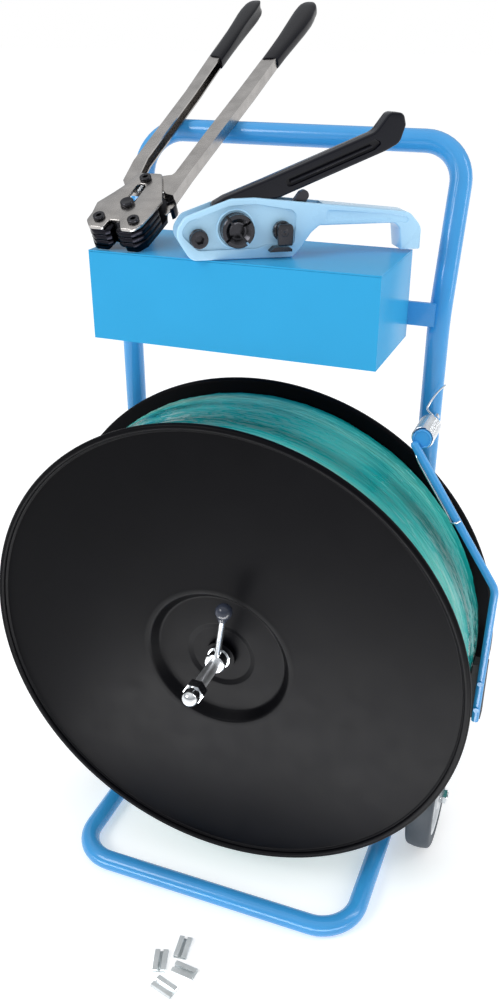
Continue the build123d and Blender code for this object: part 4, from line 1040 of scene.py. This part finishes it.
# ---------------- wheels ----------------
def wheels():
    """Rubber tyres with rounded shoulders, on moulded rims with ribs."""
    rib_count = 8
    for side, word in ((-1, "left"), (1, "right")):
        low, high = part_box(f"tyre_{word}")
        centre = (Vector(low) + Vector(high)) / 2
        at = axes(centre, (0, side, 0), (0, 0, 1), (side, 0, 0))
        half = (high[0] - low[0]) / 2 / MM
        tread = [(56.2, -half + 1.5), (57.5, -half)] + arc(67.5, -half + 6.5, 6.5, -90, -20, 6)
        tread += [(74.9, -4.0), (75.0, 0), (74.9, 4.0)] + arc(67.5, half - 6.5, 6.5, 20, 90, 6)
        tread += [(57.5, half), (56.2, half - 1.5)]
        lathe(
            f"tyre_tread_{word}", tread, at, M["tyre_rubber"], f"wheel_{word}", 128,
            replaces=(f"tyre_{word}",),
        )
        rim = [(6.1, -half), (19.0, -half), (20, -half + 1), (20.0, -7), (22, -6), (48, -6), (50, -8)]
        rim += [(50.5, -half + 2), (52, -half + 1), (55, -half + 1), (56, -half + 2)]
        rim += [(56, half - 2), (55, half - 1), (52, half - 1), (50.5, half - 2)]
        rim += [(50, 8), (48, 6), (22, 6), (20, 7), (20, half - 1), (19, half)]
        rim += [(6.1, half)]
        disc = lathe_bm(rim, 96, True)
        ribs = []
        for k in range(rib_count):
            spoke = rounded([(19.5, -1.4), (50.4, -1.4), (50.4, 1.4), (19.5, 1.4)], 0.3)
            rib = plate_bm([spoke], 5.5, half - 4.5, 0.5)
            rib.transform(Matrix.Rotation(2 * math.pi * k / rib_count, 4, "Z"))
            ribs.append(rib)
        bm = combine([disc, *ribs])
        bm.transform(at)
        link(to_mesh(bm, f"moulded_rim_{word}"), f"moulded_rim_{word}", M["rim_grey"], f"wheel_{word}", 35,
             (f"rim_{word}",))


wheels()


# ---------------- camera, light and floor ----------------
def camera():
    """Three-quarter view from the front right, looking down on the cart."""
    place = Vector((0.3678, FRAME_Y - 1.02295, 1.0075))
    yaw, pitch, roll = (math.radians(angle) for angle in (20.434, 27.283, 0.458))
    ahead = Vector((-math.sin(yaw) * math.cos(pitch), math.cos(yaw) * math.cos(pitch), -math.sin(pitch)))
    right = Vector((math.cos(yaw), math.sin(yaw), 0))
    up = right.cross(ahead)
    c, s = math.cos(roll), math.sin(roll)
    right, up = right * c + up * s, up * c - right * s
    data = bpy.data.cameras.new("camera")
    data.lens = 33.62
    data.sensor_width = 36.0
    data.shift_x = -0.0144
    data.shift_y = 0.0154
    data.clip_start = 0.01
    holder = bpy.data.objects.new("camera", data)
    holder.matrix_world = Matrix((
        (right.x, up.x, -ahead.x, place.x),
        (right.y, up.y, -ahead.y, place.y),
        (right.z, up.z, -ahead.z, place.z),
        (0, 0, 0, 1),
    ))
    bpy.context.scene.collection.objects.link(holder)
    bpy.context.scene.camera = holder


def area_light(name, place, target, size, power):
    data = bpy.data.lights.new(name, "AREA")
    data.shape = "RECTANGLE"
    data.size, data.size_y = size
    data.energy = power
    holder = bpy.data.objects.new(name, data)
    holder.location = place
    holder.rotation_euler = (Vector(target) - Vector(place)).to_track_quat("-Z", "Y").to_euler()
    bpy.context.scene.collection.objects.link(holder)
    return holder


def studio():
    """Soft surround, white below the horizon and greyer above it, two lamps, a low card and a pale floor.

    The card lights no matt surface and is hidden from the camera: only reflections show it.
    """
    world = bpy.data.worlds.new("studio")
    world.use_nodes = True
    nodes, links = world.node_tree.nodes, world.node_tree.links
    background = nodes["Background"]
    place = nodes.new("ShaderNodeTexCoord")
    height = nodes.new("ShaderNodeSeparateXYZ")
    links.new(place.outputs["Generated"], height.inputs[0])
    ceiling = ramp(nodes, links, height.outputs["Z"], [
        (0.04, (1.0, 1.0, 1.0)),
        (0.25, (0.34, 0.35, 0.37)),
        (0.6, (0.62, 0.64, 0.66)),
        (1.0, (0.95, 0.95, 0.95)),
    ])
    links.new(ceiling, background.inputs["Color"])
    background.inputs["Strength"].default_value = 1.0
    bpy.context.scene.world = world
    area_light("key", (-1.6, -2.0, 2.4), (0, 0, 0.5), (1.4, 1.0), 34)
    area_light("rim", (2.2, 0.4, 1.8), (0, 0, 0.6), (0.5, 2.0), 14)
    card = area_light("floor_card", (0.42, -0.44, 0.02), (0.42, -0.34, 0.6), (1.5, 0.36), 13)
    card.visible_diffuse = False
    card.visible_camera = False
    bm = bmesh.new()
    bmesh.ops.create_grid(bm, x_segments=2, y_segments=2, size=60.0)
    mesh = bpy.data.meshes.new("floor")
    bm.to_mesh(mesh)
    bm.free()
    floor = bpy.data.objects.new("floor", mesh)
    bpy.context.scene.collection.objects.link(floor)
    mat, nodes, links, shader = new_material("pale_floor", "steel")
    shader.inputs["Base Color"].default_value = (0.85, 0.85, 0.85, 1)
    shader.inputs["Roughness"].default_value = 0.9
    shader.inputs["Specular IOR Level"].default_value = 0.0
    shader.inputs["Emission Color"].default_value = (1, 1, 1, 1)
    shader.inputs["Emission Strength"].default_value = 0.42
    mesh.materials.append(mat)


camera()
studio()
bpy.context.scene.view_settings.view_transform = "Standard"
